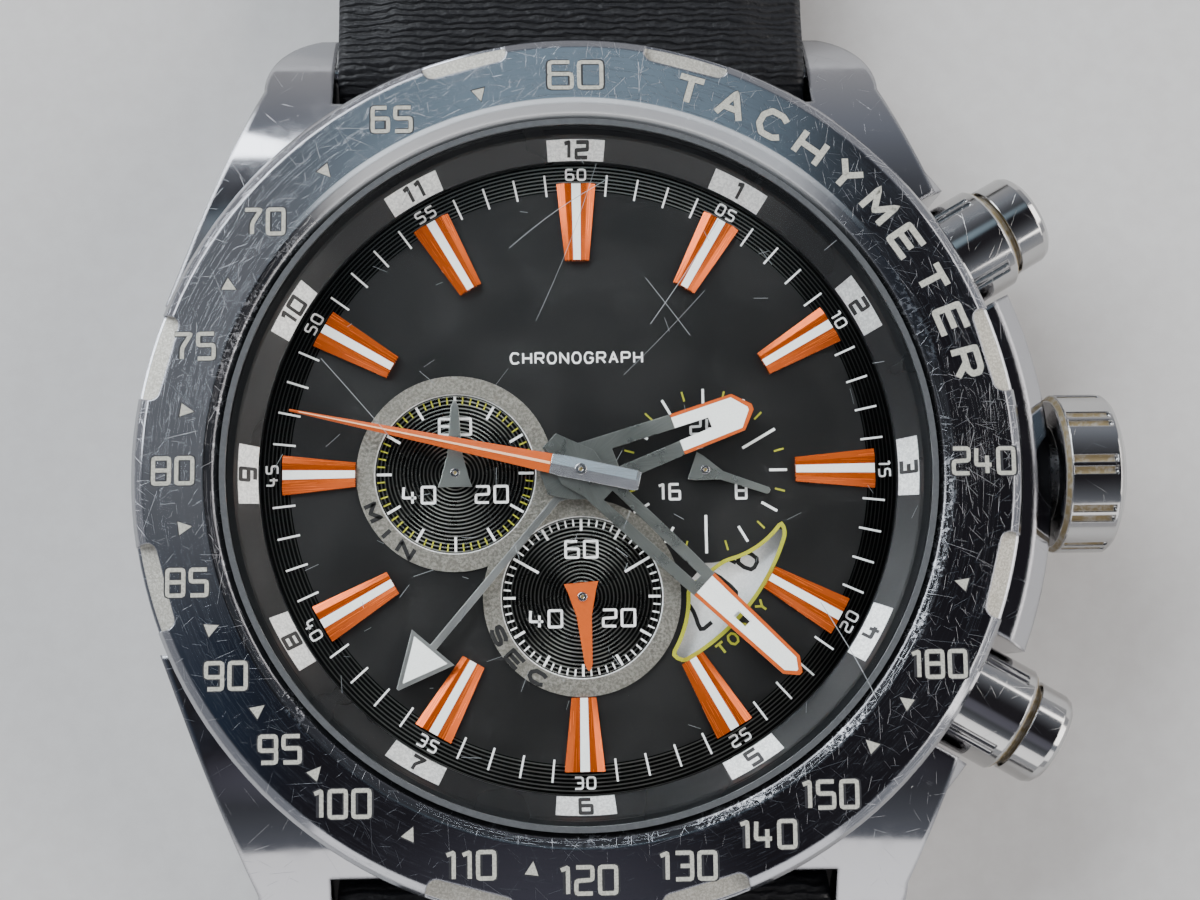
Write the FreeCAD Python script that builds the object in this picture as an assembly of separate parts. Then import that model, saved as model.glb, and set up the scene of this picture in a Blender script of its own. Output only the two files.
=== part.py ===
"""Chronograph wristwatch with a tachymeter bezel, laid out flat with its strap open.

Frame: +Z out through the crystal, +X towards 3 o'clock, +Y towards 12 o'clock.
The origin is the centre of the case back's outer face. All sizes are millimetres.
Clock angles are degrees clockwise from 12 o'clock, seen from the crystal.
"""

import FreeCAD
import Part
import math
import os

V = FreeCAD.Vector

# ---- driving dimensions ----------------------------------------------------------
BEZEL_R = 22.5
BEZEL_TOP_Z = 11.4
BEZEL_FOOT_Z = 8.3
CASE_R = 22.2
CASE_BOTTOM_Z = 1.0
SHOULDER_R = 25.0          # crown and pusher side of the case
SHOULDER_HALF_ANGLE = 42.5
NECK_R = 19.4              # ring of the case that the bezel snaps over
NECK_TOP_Z = 9.9
FLANGE_SEAT_R = 17.95
MOVEMENT_BORE_R = 18.4
BACK_R = 20.2
BACK_SKIRT_R = 19.0
CRYSTAL_R = 17.75
CRYSTAL_BOTTOM_Z = 10.15
CRYSTAL_TOP_Z = 11.3

DIAL_TOP_Z = 8.6
DIAL_THICKNESS = 0.4
DIAL_R = 17.8
FLANGE_IN_R = 16.4
SUBDIAL_OFFSET = 6.42
SUBDIAL_RING_R = 5.05
SUBDIAL_FLOOR_R = 4.16
INDEX_OUT_R = 15.2
INDEX_IN_R = 11.1
INDEX_SHORT_IN_R = 11.5    # at 6 and 9, beside the raised counters

SIDE_AXIS_Z = 5.2          # height of the crown and pusher axes
CROWN_R = 4.25
CROWN_IN = 25.15
CROWN_OUT = 28.6
PUSHER_ANGLE = 30.0
COLLAR_R = 2.9
PUSHER_R = 2.55
PUSHER_OUT = 28.65

LUG_GAP_HALF = 13.0
LUG_TIP_Y = 25.2
STRAP_W = 25.6
STRAP_END_W = 22.0
STRAP_CUT_Y = 20.45        # the case wall between the lugs
BAR_Y = 23.0
BAR_Z = 3.6
BAR_R = 0.9
STRAP_EYE_R = 2.25         # half thickness of the strap at its spring bar
SHORT_STRAP = 75.0         # spring bar to buckle bar
LONG_STRAP = 120.0         # spring bar to tip
SHORT_BASE_Z = 1.4         # the buckle half rides on its keepers
SHORT_END_T = 3.0
LONG_END_T = 2.8
BUCKLE_Y = BAR_Y + SHORT_STRAP
BUCKLE_Z = SHORT_BASE_Z + SHORT_END_T / 2
BUCKLE_BAR_R = 0.75
HOLE_COUNT, HOLE_PITCH = 7, 7.0
HOLE_R = 1.1
FIRST_HOLE_BACK = 24.0     # from the strap's tip
TANG_SLOT_HALF = 1.6
FIXED_KEEPER_BACK, LOOSE_KEEPER_BACK = 10.0, 24.0

MOVEMENT_R = 15.5
DIAL_FOOT_R, DIAL_FOOT_ANGLES = 14.0, (40, 220)   # the two feet under the dial
PLATE_BOTTOM_Z = 5.6
DISC_TOP_Z = 8.05
WINDOW_OUT_R, WINDOW_IN_R = 11.0, 7.9
WINDOW_RIGHT_R, WINDOW_LOW_R = 4.75, 5.45   # the counters' edges beside the date window
BRIDGE_SCREWS = ((-4.2, 3.6), (7.6, 3.0), (2.6, -5.6))
BATTERY_X, BATTERY_Y, BATTERY_R = -7.0, -7.0, 4.75
TIME_ROTOR, CHRONO_ROTOR = (-1.6, 8.4), (1.6, 8.4)

HOUR_ANGLE = 70.3
MINUTE_ANGLE = 133.8
CHRONO_ANGLE = 282.3
ZONE_ANGLE = 220.5
DAY_ANGLE = 109.0
COUNTER_ANGLE = 0.0
SECONDS_ANGLE = 175.5

# Hand outlines are right halves, (x, y) from the tail to the tip, pointing at 12.
HAND_T = 0.13
ZONE_Z, HOUR_Z, MINUTE_Z, CHRONO_Z = 9.08, 9.31, 9.54, 9.77
SMALL_HAND_Z = 8.85
CHRONO_R, MINUTE_R, HOUR_R, ZONE_R, SMALL_R = 0.15, 0.40, 0.65, 0.90, 0.20

HOUR_HALF = [(0.6, -2.0), (1.25, -0.95), (1.5, -0.2), (1.35, 0.5), (1.1, 5.3), (1.0, 8.65),
             (0.15, 9.45)]
HOUR_SLOT = [(0.5, 1.9), (0.27, 7.1)]
MINUTE_HALF = [(0.5, -2.2), (1.2, -0.2), (0.9, 1.0), (0.85, 6.0), (0.77, 8.55), (0.62, 14.5),
               (0.1, 15.15)]
MINUTE_SLOTS = ([(0.34, 1.9), (0.2, 8.1)], [(0.18, 10.7), (0.18, 11.5)])
CHRONO_HALF = [(0.48, -3.05), (0.55, 0.9), (0.5, 1.6), (0.06, 15.1)]
ZONE_HALF = [(0.5, -1.7), (1.3, -0.5), (1.1, 0.6), (0.19, 1.9), (0.19, 11.65), (1.4, 11.65),
             (0.06, 14.4)]
SMALL_HALF = [(0.88, -0.72), (0.72, -0.3), (0.38, 1.0), (0.2, 3.4), (0.06, 3.75)]
DAY_HALF = [(0.75, -0.7), (0.66, -0.3), (0.22, 0.9), (0.17, 3.4), (0.08, 3.5)]

CLEAR = 0.05               # running clearance of shafts in their holes
OVER = 1.0                 # how far a cutting tool runs past a face


# ---- helpers ---------------------------------------------------------------------
def cylinder(r, z0, z1, x=0.0, y=0.0):
    return Part.makeCylinder(r, z1 - z0, V(x, y, z0))


def ring(r_out, r_in, z0, z1, x=0.0, y=0.0):
    inner = cylinder(r_in, z0 - OVER, z1 + OVER, x, y)
    return cylinder(r_out, z0, z1, x, y).cut(inner)


def box(x0, x1, y0, y1, z0, z1):
    return Part.makeBox(x1 - x0, y1 - y0, z1 - z0, V(x0, y0, z0))


def prism(outline, z0, z1):
    """Straight-sided solid from a list of (x, y) corners."""
    points = [V(x, y, z0) for x, y in outline]
    face = Part.Face(Part.makePolygon(points + points[:1]))
    return face.extrude(V(0, 0, z1 - z0))


def turned(outline, angle=360.0):
    """Solid turned about Z from a list of (radius, z) corners."""
    points = [V(r, 0, z) for r, z in outline]
    face = Part.Face(Part.makePolygon(points + points[:1]))
    return face.revolve(V(0, 0, 0), V(0, 0, 1), angle)


def side_profile(points, x0, x1):
    """Solid from a list of (y, z) corners, drawn across the object from x0 to x1."""
    corners = [V(x0, y, z) for y, z in points]
    face = Part.Face(Part.makePolygon(corners + corners[:1]))
    return face.extrude(V(x1 - x0, 0, 0))


def turn(shape, degrees):
    """Copy of a shape turned counter-clockwise about the Z axis."""
    copy = shape.copy()
    copy.rotate(V(0, 0, 0), V(0, 0, 1), degrees)
    return copy


def moved(shape, x=0.0, y=0.0, z=0.0):
    copy = shape.copy()
    copy.translate(V(x, y, z))
    return copy


def radial(shape, degrees):
    """Lay a shape built along +Z out along a horizontal radius, degrees from +X."""
    copy = shape.copy()
    copy.rotate(V(0, 0, 0), V(0, 1, 0), 90)
    copy.rotate(V(0, 0, 0), V(0, 0, 1), degrees)
    copy.translate(V(0, 0, SIDE_AXIS_Z))
    return copy


def mirrored_y(shape):
    return shape.mirror(V(0, 0, 0), V(0, 1, 0))


def union(shapes):
    return shapes[0].fuse(shapes[1:]).removeSplitter()


def group(shapes):
    return Part.makeCompound(shapes)


# ---- case ------------------------------------------------------------------------
def lug():
    """One lug, at +X +Y: a plan outline cut to a curved side view."""
    root_y = 9.0
    flank_x = 16.7
    tip_edges = [
        Part.LineSegment(V(10, root_y, 0), V(21.4, root_y, 0)).toShape(),
        Part.LineSegment(V(21.4, root_y, 0), V(flank_x, 21.3, 0)).toShape(),
        Part.Arc(V(flank_x, 21.3, 0), V(15.9, 23.9, 0), V(13.9, LUG_TIP_Y, 0)).toShape(),
        Part.LineSegment(V(13.9, LUG_TIP_Y, 0), V(10, LUG_TIP_Y, 0)).toShape(),
        Part.LineSegment(V(10, LUG_TIP_Y, 0), V(10, root_y, 0)).toShape(),
    ]
    plan = Part.Face(Part.Wire(tip_edges)).extrude(V(0, 0, 9))
    top_start, top_mid, top_end = V(0, 12, 8.25), V(0, 20, 6.6), V(0, LUG_TIP_Y, 2.9)
    heel, sole, under = V(0, LUG_TIP_Y, 0.9), V(0, 24.3, 0.3), V(0, 20.5, 1.0)
    side_edges = [
        Part.LineSegment(V(0, 8, 1.0), V(0, 8, 8.25)).toShape(),
        Part.LineSegment(V(0, 8, 8.25), top_start).toShape(),
        Part.Arc(top_start, top_mid, top_end).toShape(),
        Part.LineSegment(top_end, heel).toShape(),
        Part.LineSegment(heel, sole).toShape(),
        Part.LineSegment(sole, under).toShape(),
        Part.LineSegment(under, V(0, 8, 1.0)).toShape(),
    ]
    side = Part.Face(Part.Wire(side_edges)).extrude(V(30, 0, 0))
    return plan.common(side)


def case_middle():
    barrel = turned([
        (0, CASE_BOTTOM_Z), (BACK_R + 0.6, CASE_BOTTOM_Z), (CASE_R, 2.6),
        (CASE_R, BEZEL_FOOT_Z), (0, BEZEL_FOOT_Z),
    ])
    shoulder = turned([
        (15, 1.9), (SHOULDER_R - 1.2, 1.9), (SHOULDER_R, 3.0), (SHOULDER_R, 6.9),
        (SHOULDER_R - 1.1, 7.9), (15, 7.9),
    ], 2 * SHOULDER_HALF_ANGLE)
    shoulder = turn(shoulder, -SHOULDER_HALF_ANGLE)
    one_lug = lug()
    right_pair = one_lug.fuse(mirrored_y(one_lug))
    lugs = right_pair.fuse(turn(right_pair, 180))
    neck = cylinder(NECK_R, 7.0, NECK_TOP_Z)
    body = union([barrel, shoulder, lugs, neck])

    cuts = []
    for sign in (1, -1):
        near, far = sorted((sign * STRAP_CUT_Y, sign * (LUG_TIP_Y + OVER)))
        cuts.append(box(-LUG_GAP_HALF, LUG_GAP_HALF, near, far, -OVER, BEZEL_FOOT_Z))
        slot = box(CASE_R + 0.3, 30, -3.3, 3.3, -OVER, 9)
        cuts.append(turn(slot, sign * PUSHER_ANGLE))
        neck_hole = cylinder(1.5, 20.4, 23)
        stem_hole = cylinder(0.85, 16, 21)
        cuts.append(radial(neck_hole.fuse(stem_hole), sign * PUSHER_ANGLE))
        for bar_sign in (1, -1):
            hole = Part.makeCylinder(0.5, 1.6, V(bar_sign * LUG_GAP_HALF, sign * BAR_Y, BAR_Z),
                                     V(bar_sign, 0, 0))
            cuts.append(hole)
    cuts.append(radial(cylinder(1.6, 16, 26), 0))
    cuts.append(cylinder(MOVEMENT_BORE_R, 0, 7.9))
    cuts.append(cylinder(FLANGE_SEAT_R, 7, NECK_TOP_Z + OVER))
    cuts.append(cylinder(BACK_SKIRT_R, 0, 2.6))
    cuts.append(ring(19.9, 19.3, 0, CASE_BOTTOM_Z + 0.36))
    for cut in cuts:
        body = body.cut(cut)
    return body


def bezel():
    body = turned([
        (NECK_R, BEZEL_FOOT_Z), (BEZEL_R - 0.2, BEZEL_FOOT_Z), (BEZEL_R, 8.8), (BEZEL_R, 10.6),
        (BEZEL_R - 0.22, 11.0), (21.85, 11.27), (18.8, BEZEL_TOP_Z), (18.35, 11.2),
        (18.1, 10.8), (18.1, NECK_TOP_Z), (NECK_R, NECK_TOP_Z),
    ])
    # Eight cut-outs in the rim, in pairs about 12, 3, 6 and 9 o'clock.
    half_width, wall, corner = 2.2, 21.35, 0.5
    plan = box(wall, wall + 3, -half_width, half_width, 9.0, 12.0)
    inner_edges = [e for e in plan.Edges
                   if abs(e.BoundBox.XMax - wall) < 0.01 and e.BoundBox.ZLength > 1]
    plan = plan.makeFillet(corner, inner_edges)
    floor = Part.Face(Part.makePolygon([
        V(wall - OVER, -4, 10.72), V(wall - OVER, -4, 12.0), V(24.5, -4, 12.0),
        V(24.5, -4, 9.6), V(wall, -4, 10.72), V(wall - OVER, -4, 10.72),
    ])).extrude(V(0, 8, 0))
    notch = plan.common(floor)
    for quarter in range(4):
        for side in (-15.2, 15.2):
            body = body.cut(turn(notch, 90 * quarter + side))
    return body


def crystal():
    return turned([
        (0, CRYSTAL_BOTTOM_Z), (CRYSTAL_R, CRYSTAL_BOTTOM_Z), (CRYSTAL_R, CRYSTAL_TOP_Z - 0.25),
        (CRYSTAL_R - 0.3, CRYSTAL_TOP_Z), (0, CRYSTAL_TOP_Z),
    ])


def inner_flange():
    return turned([
        (FLANGE_IN_R, DIAL_TOP_Z), (FLANGE_SEAT_R - CLEAR, DIAL_TOP_Z), (FLANGE_SEAT_R - CLEAR, 10.1),
        (17.5, 10.1), (17.4, 9.95), (FLANGE_IN_R, 8.9),
    ])


def case_back():
    body = turned([
        (0, 0), (BACK_R - 0.4, 0), (BACK_R, 0.4), (BACK_R, CASE_BOTTOM_Z),
        (BACK_SKIRT_R - 0.02, CASE_BOTTOM_Z), (BACK_SKIRT_R - 0.02, 2.55), (18.0, 2.55),
        (18.0, CASE_BOTTOM_Z), (0, CASE_BOTTOM_Z),
    ])
    # Six wrench notches round the rim.
    for step in range(6):
        notch = box(BACK_R - 1.3, BACK_R + OVER, -1.4, 1.4, -OVER, 0.45)
        body = body.cut(turn(notch, 60 * step + 30))
    return body


def movement_ring():
    body = ring(MOVEMENT_BORE_R - 0.1, MOVEMENT_R + CLEAR, 3.0, 7.85)
    body = body.fuse(ring(DIAL_R, MOVEMENT_R + CLEAR, 7.8, 8.2))
    for angle in (-PUSHER_ANGLE, 0, PUSHER_ANGLE):
        body = body.cut(radial(cylinder(1.3, 14, 20), angle))
    return body


# ---- crown -----------------------------------------------------------------------
def crown():
    body = turned([
        (0, CROWN_IN), (CROWN_R - 0.35, CROWN_IN), (CROWN_R, CROWN_IN + 0.3),
        (CROWN_R, 27.95), (CROWN_R - 0.15, 28.15), (CROWN_R - 0.75, 28.45), (2.4, CROWN_OUT),
        (0, CROWN_OUT),
    ])
    body = body.cut(cylinder(2.6, CROWN_IN - OVER, 27.3))
    # Ten pairs of fine grip grooves.
    for pair in range(10):
        for side in (-4.2, 4.2):
            groove = cylinder(0.2, CROWN_IN + 0.35, 27.8, CROWN_R + 0.02, 0)
            body = body.cut(turn(groove, 36 * pair + side))
    return radial(body, 0)


def crown_stem():
    body = turned([
        (0, 12.0), (0.35, 12.0), (0.35, 12.4), (0.6, 12.4), (0.6, 12.9), (0.4, 12.9),
        (0.4, 13.5), (0.6, 13.5), (0.6, 18.0), (0.9, 18.0), (0.9, 27.3), (0, 27.3),
    ])
    return radial(body, 0)


def setting_lever():
    plate = box(12.98, 13.42, -1.3, 3.0, 4.5, 5.9)
    slot = box(12, 14, -2, 0, SIDE_AXIS_Z - 0.45, SIDE_AXIS_Z + 0.45)
    eye = Part.makeCylinder(0.45, 2, V(12, 0, SIDE_AXIS_Z), V(1, 0, 0))
    return plate.cut(slot).cut(eye)


def crown_tube():
    return radial(ring(1.6, 1.1, 18.5, 26.6), 0)


def crown_gasket():
    return radial(ring(2.58, 1.63, 25.5, 26.1), 0)


# ---- pushers ---------------------------------------------------------------------
def pusher_collar():
    body = turned([
        (0, 20.45), (1.48, 20.45), (1.48, 22.55), (COLLAR_R - 0.1, 22.55), (COLLAR_R, 22.75),
        (COLLAR_R, 26.0), (COLLAR_R - 0.15, 26.2), (0, 26.2),
    ])
    body = body.cut(cylinder(PUSHER_R + 0.1, 23.7, 27))
    body = body.cut(cylinder(0.85, 20, 24))
    body = body.cut(cylinder(1.22, 21.0, 21.6))
    # Four pairs of shallow lengthwise grooves.
    for pair in range(4):
        for side in (-4.5, 4.5):
            groove = cylinder(0.16, 22.9, 25.6, COLLAR_R + 0.03, 0)
            body = body.cut(turn(groove, 90 * pair + 45 + side))
    return body


def pusher_button():
    head = turned([
        (0, 25.5), (PUSHER_R, 25.5), (PUSHER_R, 26.0), (PUSHER_R - 0.3, 26.15),
        (PUSHER_R - 0.3, 26.5), (PUSHER_R, 26.6), (PUSHER_R, 28.05), (PUSHER_R - 0.12, 28.35),
        (PUSHER_R - 0.38, 28.57), (PUSHER_R - 0.75, PUSHER_OUT), (0, PUSHER_OUT),
    ])
    head = head.cut(cylinder(1.75, 25, 27.6))
    stem = turned([
        (0, 17.8), (0.7, 17.8), (0.8, 17.9), (0.8, 18.15), (0.55, 18.15), (0.55, 18.3),
        (0.8, 18.3), (0.8, 27.8), (0, 27.8),
    ])
    return head.fuse(stem).removeSplitter()


def pusher_clip():
    body = ring(1.1, 0.56, 18.16, 18.29)
    return body.cut(box(-0.45, 0.45, -2, 0, 18, 19))


def coil_spring(mean_r, wire_d, z0, z1, turns):
    helix = Part.makeHelix((z1 - z0) / turns, z1 - z0, mean_r)
    start = V(mean_r, 0, 0)
    circle = Part.Wire(Part.makeCircle(wire_d / 2, start, V(0, 1, 0)))
    return moved(helix.makePipeShell([circle], True, True), z=z0)


# ---- dial ------------------------------------------------------------------------
def date_window():
    """Crescent opening, cut round the counters at 3 and 6, as a tall tool."""
    reach = 13.0
    first, last = math.radians(-16.5), math.radians(-63.0)
    middle = math.radians(-40.0)
    wedge = prism([
        (0, 0), (reach * math.cos(first), reach * math.sin(first)),
        (reach * math.cos(middle) * 1.2, reach * math.sin(middle) * 1.2),
        (reach * math.cos(last), reach * math.sin(last)),
    ], 7, 10)
    window = wedge.common(cylinder(WINDOW_OUT_R, 7, 10))
    window = window.cut(cylinder(WINDOW_IN_R, 6, 11))
    window = window.cut(cylinder(WINDOW_RIGHT_R, 6, 11, SUBDIAL_OFFSET, 0))
    return window.cut(cylinder(WINDOW_LOW_R, 6, 11, 0, -SUBDIAL_OFFSET))


def dial_plate():
    bottom = DIAL_TOP_Z - DIAL_THICKNESS
    body = cylinder(DIAL_R - 0.05, bottom, DIAL_TOP_Z)
    for x, y in ((-SUBDIAL_OFFSET, 0), (0, -SUBDIAL_OFFSET)):
        body = body.cut(cylinder(SUBDIAL_FLOOR_R, DIAL_TOP_Z - 0.15, 10, x, y))
    for x, y in ((-SUBDIAL_OFFSET, 0), (0, -SUBDIAL_OFFSET), (SUBDIAL_OFFSET, 0)):
        body = body.cut(cylinder(0.35, 7, 10, x, y))
    body = body.cut(cylinder(1.1, 7, 10)).cut(date_window())
    for angle in DIAL_FOOT_ANGLES:
        foot = turn(cylinder(0.4, 7.1, bottom, DIAL_FOOT_R, 0), angle)
        body = body.fuse(foot)
    return body.removeSplitter()


def hour_index(inner_r):
    """Faceted baton, wide at its outer end, with a flat stripe down the middle."""
    def section(r, width, stripe):
        half, flat = width / 2, stripe / 2
        heights = [(-half, 0), (-half, 0.2), (-0.6 * half, 0.4), (-flat, 0.34), (flat, 0.34),
                   (0.6 * half, 0.4), (half, 0.2), (half, 0)]
        points = [V(x, r, DIAL_TOP_Z + z) for x, z in heights]
        return Part.makePolygon(points + points[:1])
    outer = section(INDEX_OUT_R, 2.05, 0.48)
    inner = section(inner_r, 1.25, 0.38)
    return Part.makeLoft([inner, outer], True, True)


def hour_indexes():
    batons = []
    for hour in range(12):
        inner_r = INDEX_SHORT_IN_R if hour in (6, 9) else INDEX_IN_R
        batons.append(turn(hour_index(inner_r), -30 * hour))
    return group(batons)


def counter_frame():
    """Raised figure-of-eight rim round the counters at 9 and 6."""
    top = DIAL_TOP_Z + 0.14
    centres = ((-SUBDIAL_OFFSET, 0), (0, -SUBDIAL_OFFSET))
    rims = [cylinder(SUBDIAL_RING_R, DIAL_TOP_Z, top, x, y) for x, y in centres]
    web = prism([(-1.39, -0.44), (-0.44, -1.39), (-2.6, -2.6)], DIAL_TOP_Z, top)
    body = union(rims + [web])
    for x, y in centres:
        body = body.cut(cylinder(SUBDIAL_FLOOR_R, 8, 10, x, y))
    return body


# ---- hands -----------------------------------------------------------------------
def symmetric(half):
    """Closed outline from its right half, a list of (x, y) from tail to tip."""
    return half + [(-x, y) for x, y in reversed(half) if x > 0]


def hand(half, z0, thickness, bore, angle, x=0.0, y=0.0, slots=()):
    body = prism(symmetric(half), z0, z0 + thickness)
    for slot in slots:
        body = body.cut(prism(symmetric(slot), z0 - OVER, z0 + thickness + OVER))
    body = body.cut(cylinder(bore, z0 - OVER, z0 + thickness + OVER))
    return moved(turn(body, -angle), x, y)


def arbor(r_out, r_in, z0, z1, wheel_r, x=0.0, y=0.0):
    """Shaft or pipe that carries a hand, with its wheel under the main plate."""
    wheel_t = 0.12
    wheel = cylinder(wheel_r, z0, z0 + wheel_t, x, y)
    body = cylinder(r_out, z0, z1, x, y).fuse(wheel).removeSplitter()
    if r_in:
        body = body.cut(cylinder(r_in, z0 - OVER, z1 + OVER, x, y))
    return body


def small_arbor(x, y):
    staff = cylinder(SMALL_R, 4.1, 9.02, x, y)
    wheel = cylinder(1.9, 4.55, 4.67, x, y)
    return staff.fuse(wheel).removeSplitter()


# ---- movement --------------------------------------------------------------------
def main_plate():
    body = cylinder(MOVEMENT_R, PLATE_BOTTOM_Z, 7.75)
    body = body.fuse(ring(MOVEMENT_R, 12.4, 7.7, 8.2))
    body = body.fuse(cylinder(7.45, 7.7, 8.2)).removeSplitter()
    holes = [cylinder(ZONE_R + CLEAR, 5, 9)]
    for x, y in ((-SUBDIAL_OFFSET, 0), (0, -SUBDIAL_OFFSET), (SUBDIAL_OFFSET, 0)):
        holes.append(cylinder(SMALL_R + CLEAR, 5, 9, x, y))
    for x, y in (TIME_ROTOR, CHRONO_ROTOR):
        holes.append(cylinder(0.2, 5, 6.4, x, y))
    for angle in DIAL_FOOT_ANGLES:
        holes.append(turn(cylinder(0.42, 6.9, 9, DIAL_FOOT_R, 0), angle))
    holes.append(radial(cylinder(0.85, 11.8, 17), 0))
    holes.append(box(12.6, 15.6, -1.6, 3.3, 4, 6.2))
    for hole in holes:
        body = body.cut(hole)
    return body


def train_bridge():
    body = prism([(-9.0, 3.4), (-8.6, -1.6), (-5.0, -1.9), (-1.8, -5.1), (-1.8, -8.9),
                  (0.8, -9.2), (4.6, -6.0), (9.0, -3.0), (9.0, 3.6), (2.0, 5.4), (-4.0, 5.0)],
                 3.75, 4.3)
    body = body.cut(cylinder(CHRONO_R + CLEAR, 3, 5))
    for x, y in ((-SUBDIAL_OFFSET, 0), (0, -SUBDIAL_OFFSET), (SUBDIAL_OFFSET, 0)):
        body = body.cut(cylinder(SMALL_R + CLEAR, 3, 5, x, y))
    for x, y in BRIDGE_SCREWS:
        body = body.fuse(cylinder(0.8, 4.2, PLATE_BOTTOM_Z, x, y))
        body = body.cut(cylinder(0.35, 3, 6, x, y))
    return body


def bridge_screws():
    screws = []
    for x, y in BRIDGE_SCREWS:
        head = cylinder(0.7, 3.45, 3.75, x, y)
        shank = cylinder(0.33, 3.7, PLATE_BOTTOM_Z, x, y)
        slot = box(x - 1, x + 1, y - 0.1, y + 0.1, 3.3, 3.58)
        screws.append(head.fuse(shank).cut(slot))
    return group(screws)


def circuit_board():
    body = cylinder(15.2, 3.0, 3.2)
    body = body.cut(cylinder(BATTERY_R + 0.3, 2, 4, BATTERY_X, BATTERY_Y))
    for angle in (-PUSHER_ANGLE, 0, PUSHER_ANGLE):
        body = body.cut(turn(box(13, 17, -1.2, 1.2, 2, 4), angle))
    return body


def stepper_coil(x, y, angle):
    """Wound bobbin on an iron core, lying flat."""
    wound = Part.makeCylinder(0.85, 6.0, V(-3.0, 0, 4.5), V(1, 0, 0))
    core = box(-4.4, 4.4, -0.45, 0.45, 4.25, 4.75)
    flanges = [box(end - 0.15, end + 0.15, -1.1, 1.1, 3.5, 5.4) for end in (-3.15, 3.15)]
    body = wound.fuse([core] + flanges)
    return moved(turn(body, angle), x, y)


def rotor(x, y):
    """Magnet of a stepping motor on its pivot."""
    return cylinder(0.15, 3.4, 6.2, x, y).fuse(cylinder(0.7, 4.6, 5.1, x, y))


def battery():
    cell = cylinder(BATTERY_R, 2.95, 5.0, BATTERY_X, BATTERY_Y)
    cap = cylinder(BATTERY_R - 0.6, 5.0, 5.35, BATTERY_X, BATTERY_Y)
    return cell.fuse(cap)


def battery_clamp():
    strip = box(-6.4, 6.4, -0.9, 0.9, 2.72, 2.92)
    ends = [cylinder(1.2, 2.72, 2.92, end, 0) for end in (-6.4, 6.4)]
    body = union([strip] + ends)
    return moved(turn(body, 135), BATTERY_X * 0.82, BATTERY_Y * 0.82)


def quartz_can():
    can = Part.makeCylinder(0.75, 4.4, V(-2.2, 0, 4.4), V(1, 0, 0))
    return moved(turn(can, 40), 6.4, -9.6)


# ---- strap -----------------------------------------------------------------------
def strap_half(length, base_z, end_thickness):
    """Strap half lying along +Y, its eye round the spring bar."""
    tip_y = BAR_Y + length
    thick_y = 12.0
    eye = Part.makeCylinder(STRAP_EYE_R, STRAP_W, V(-STRAP_W / 2, BAR_Y, BAR_Z), V(1, 0, 0))
    flat_y = BAR_Y + 9.0
    profile = side_profile([
        (BAR_Y, BAR_Z - STRAP_EYE_R), (flat_y, base_z), (tip_y, base_z),
        (tip_y, base_z + end_thickness), (flat_y + thick_y, base_z + end_thickness + 0.5),
        (flat_y - 2.0, base_z + 4.0), (BAR_Y + 2.0, BAR_Z + STRAP_EYE_R - 0.05),
        (BAR_Y, BAR_Z + STRAP_EYE_R),
    ], -STRAP_W / 2, STRAP_W / 2)
    body = eye.fuse(profile)
    wide, narrow = STRAP_W / 2, STRAP_END_W / 2
    plan = prism([
        (-wide, BAR_Y - 5), (wide, BAR_Y - 5), (wide, BAR_Y + 6), (narrow, BAR_Y + 55),
        (narrow, tip_y + 1), (-narrow, tip_y + 1), (-narrow, BAR_Y + 55), (-wide, BAR_Y + 6),
    ], -5, 12)
    body = body.common(plan)
    bore = Part.makeCylinder(BAR_R + CLEAR, STRAP_W + 2, V(-STRAP_W / 2 - 1, BAR_Y, BAR_Z), V(1, 0, 0))
    return body.cut(bore)


def strap_buckle_half():
    body = strap_half(SHORT_STRAP - 1.0, SHORT_BASE_Z, SHORT_END_T)
    end = Part.makeCylinder(SHORT_END_T / 2, STRAP_END_W, V(-STRAP_END_W / 2, BUCKLE_Y, BUCKLE_Z),
                            V(1, 0, 0))
    body = body.fuse(box(-STRAP_END_W / 2, STRAP_END_W / 2, BUCKLE_Y - 3, BUCKLE_Y,
                         SHORT_BASE_Z, SHORT_BASE_Z + SHORT_END_T))
    body = body.fuse(end).removeSplitter()
    body = body.cut(Part.makeCylinder(BUCKLE_BAR_R + CLEAR, STRAP_END_W + 4,
                                      V(-STRAP_END_W / 2 - 2, BUCKLE_Y, BUCKLE_Z), V(1, 0, 0)))
    return body.cut(box(-TANG_SLOT_HALF, TANG_SLOT_HALF, BUCKLE_Y - 4.5, BUCKLE_Y + 4, 0, 9))


def strap_hole_half():
    body = strap_half(LONG_STRAP, 0.0, LONG_END_T)
    tip_y = BAR_Y + LONG_STRAP
    half = STRAP_END_W / 2
    shoulder_y = tip_y - 9.0
    edges = [
        Part.LineSegment(V(-half - 3, 0, 0), V(-half - 3, shoulder_y, 0)).toShape(),
        Part.LineSegment(V(-half - 3, shoulder_y, 0), V(-half, shoulder_y, 0)).toShape(),
        Part.Arc(V(-half, shoulder_y, 0), V(0, tip_y, 0), V(half, shoulder_y, 0)).toShape(),
        Part.LineSegment(V(half, shoulder_y, 0), V(half + 3, shoulder_y, 0)).toShape(),
        Part.LineSegment(V(half + 3, shoulder_y, 0), V(half + 3, 0, 0)).toShape(),
        Part.LineSegment(V(half + 3, 0, 0), V(-half - 3, 0, 0)).toShape(),
    ]
    body = body.common(Part.Face(Part.Wire(edges)).extrude(V(0, 0, 12)))
    for step in range(HOLE_COUNT):
        hole_y = tip_y - FIRST_HOLE_BACK - step * HOLE_PITCH
        body = body.cut(cylinder(HOLE_R, -OVER, 9, 0, hole_y))
    return mirrored_y(body)


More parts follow.
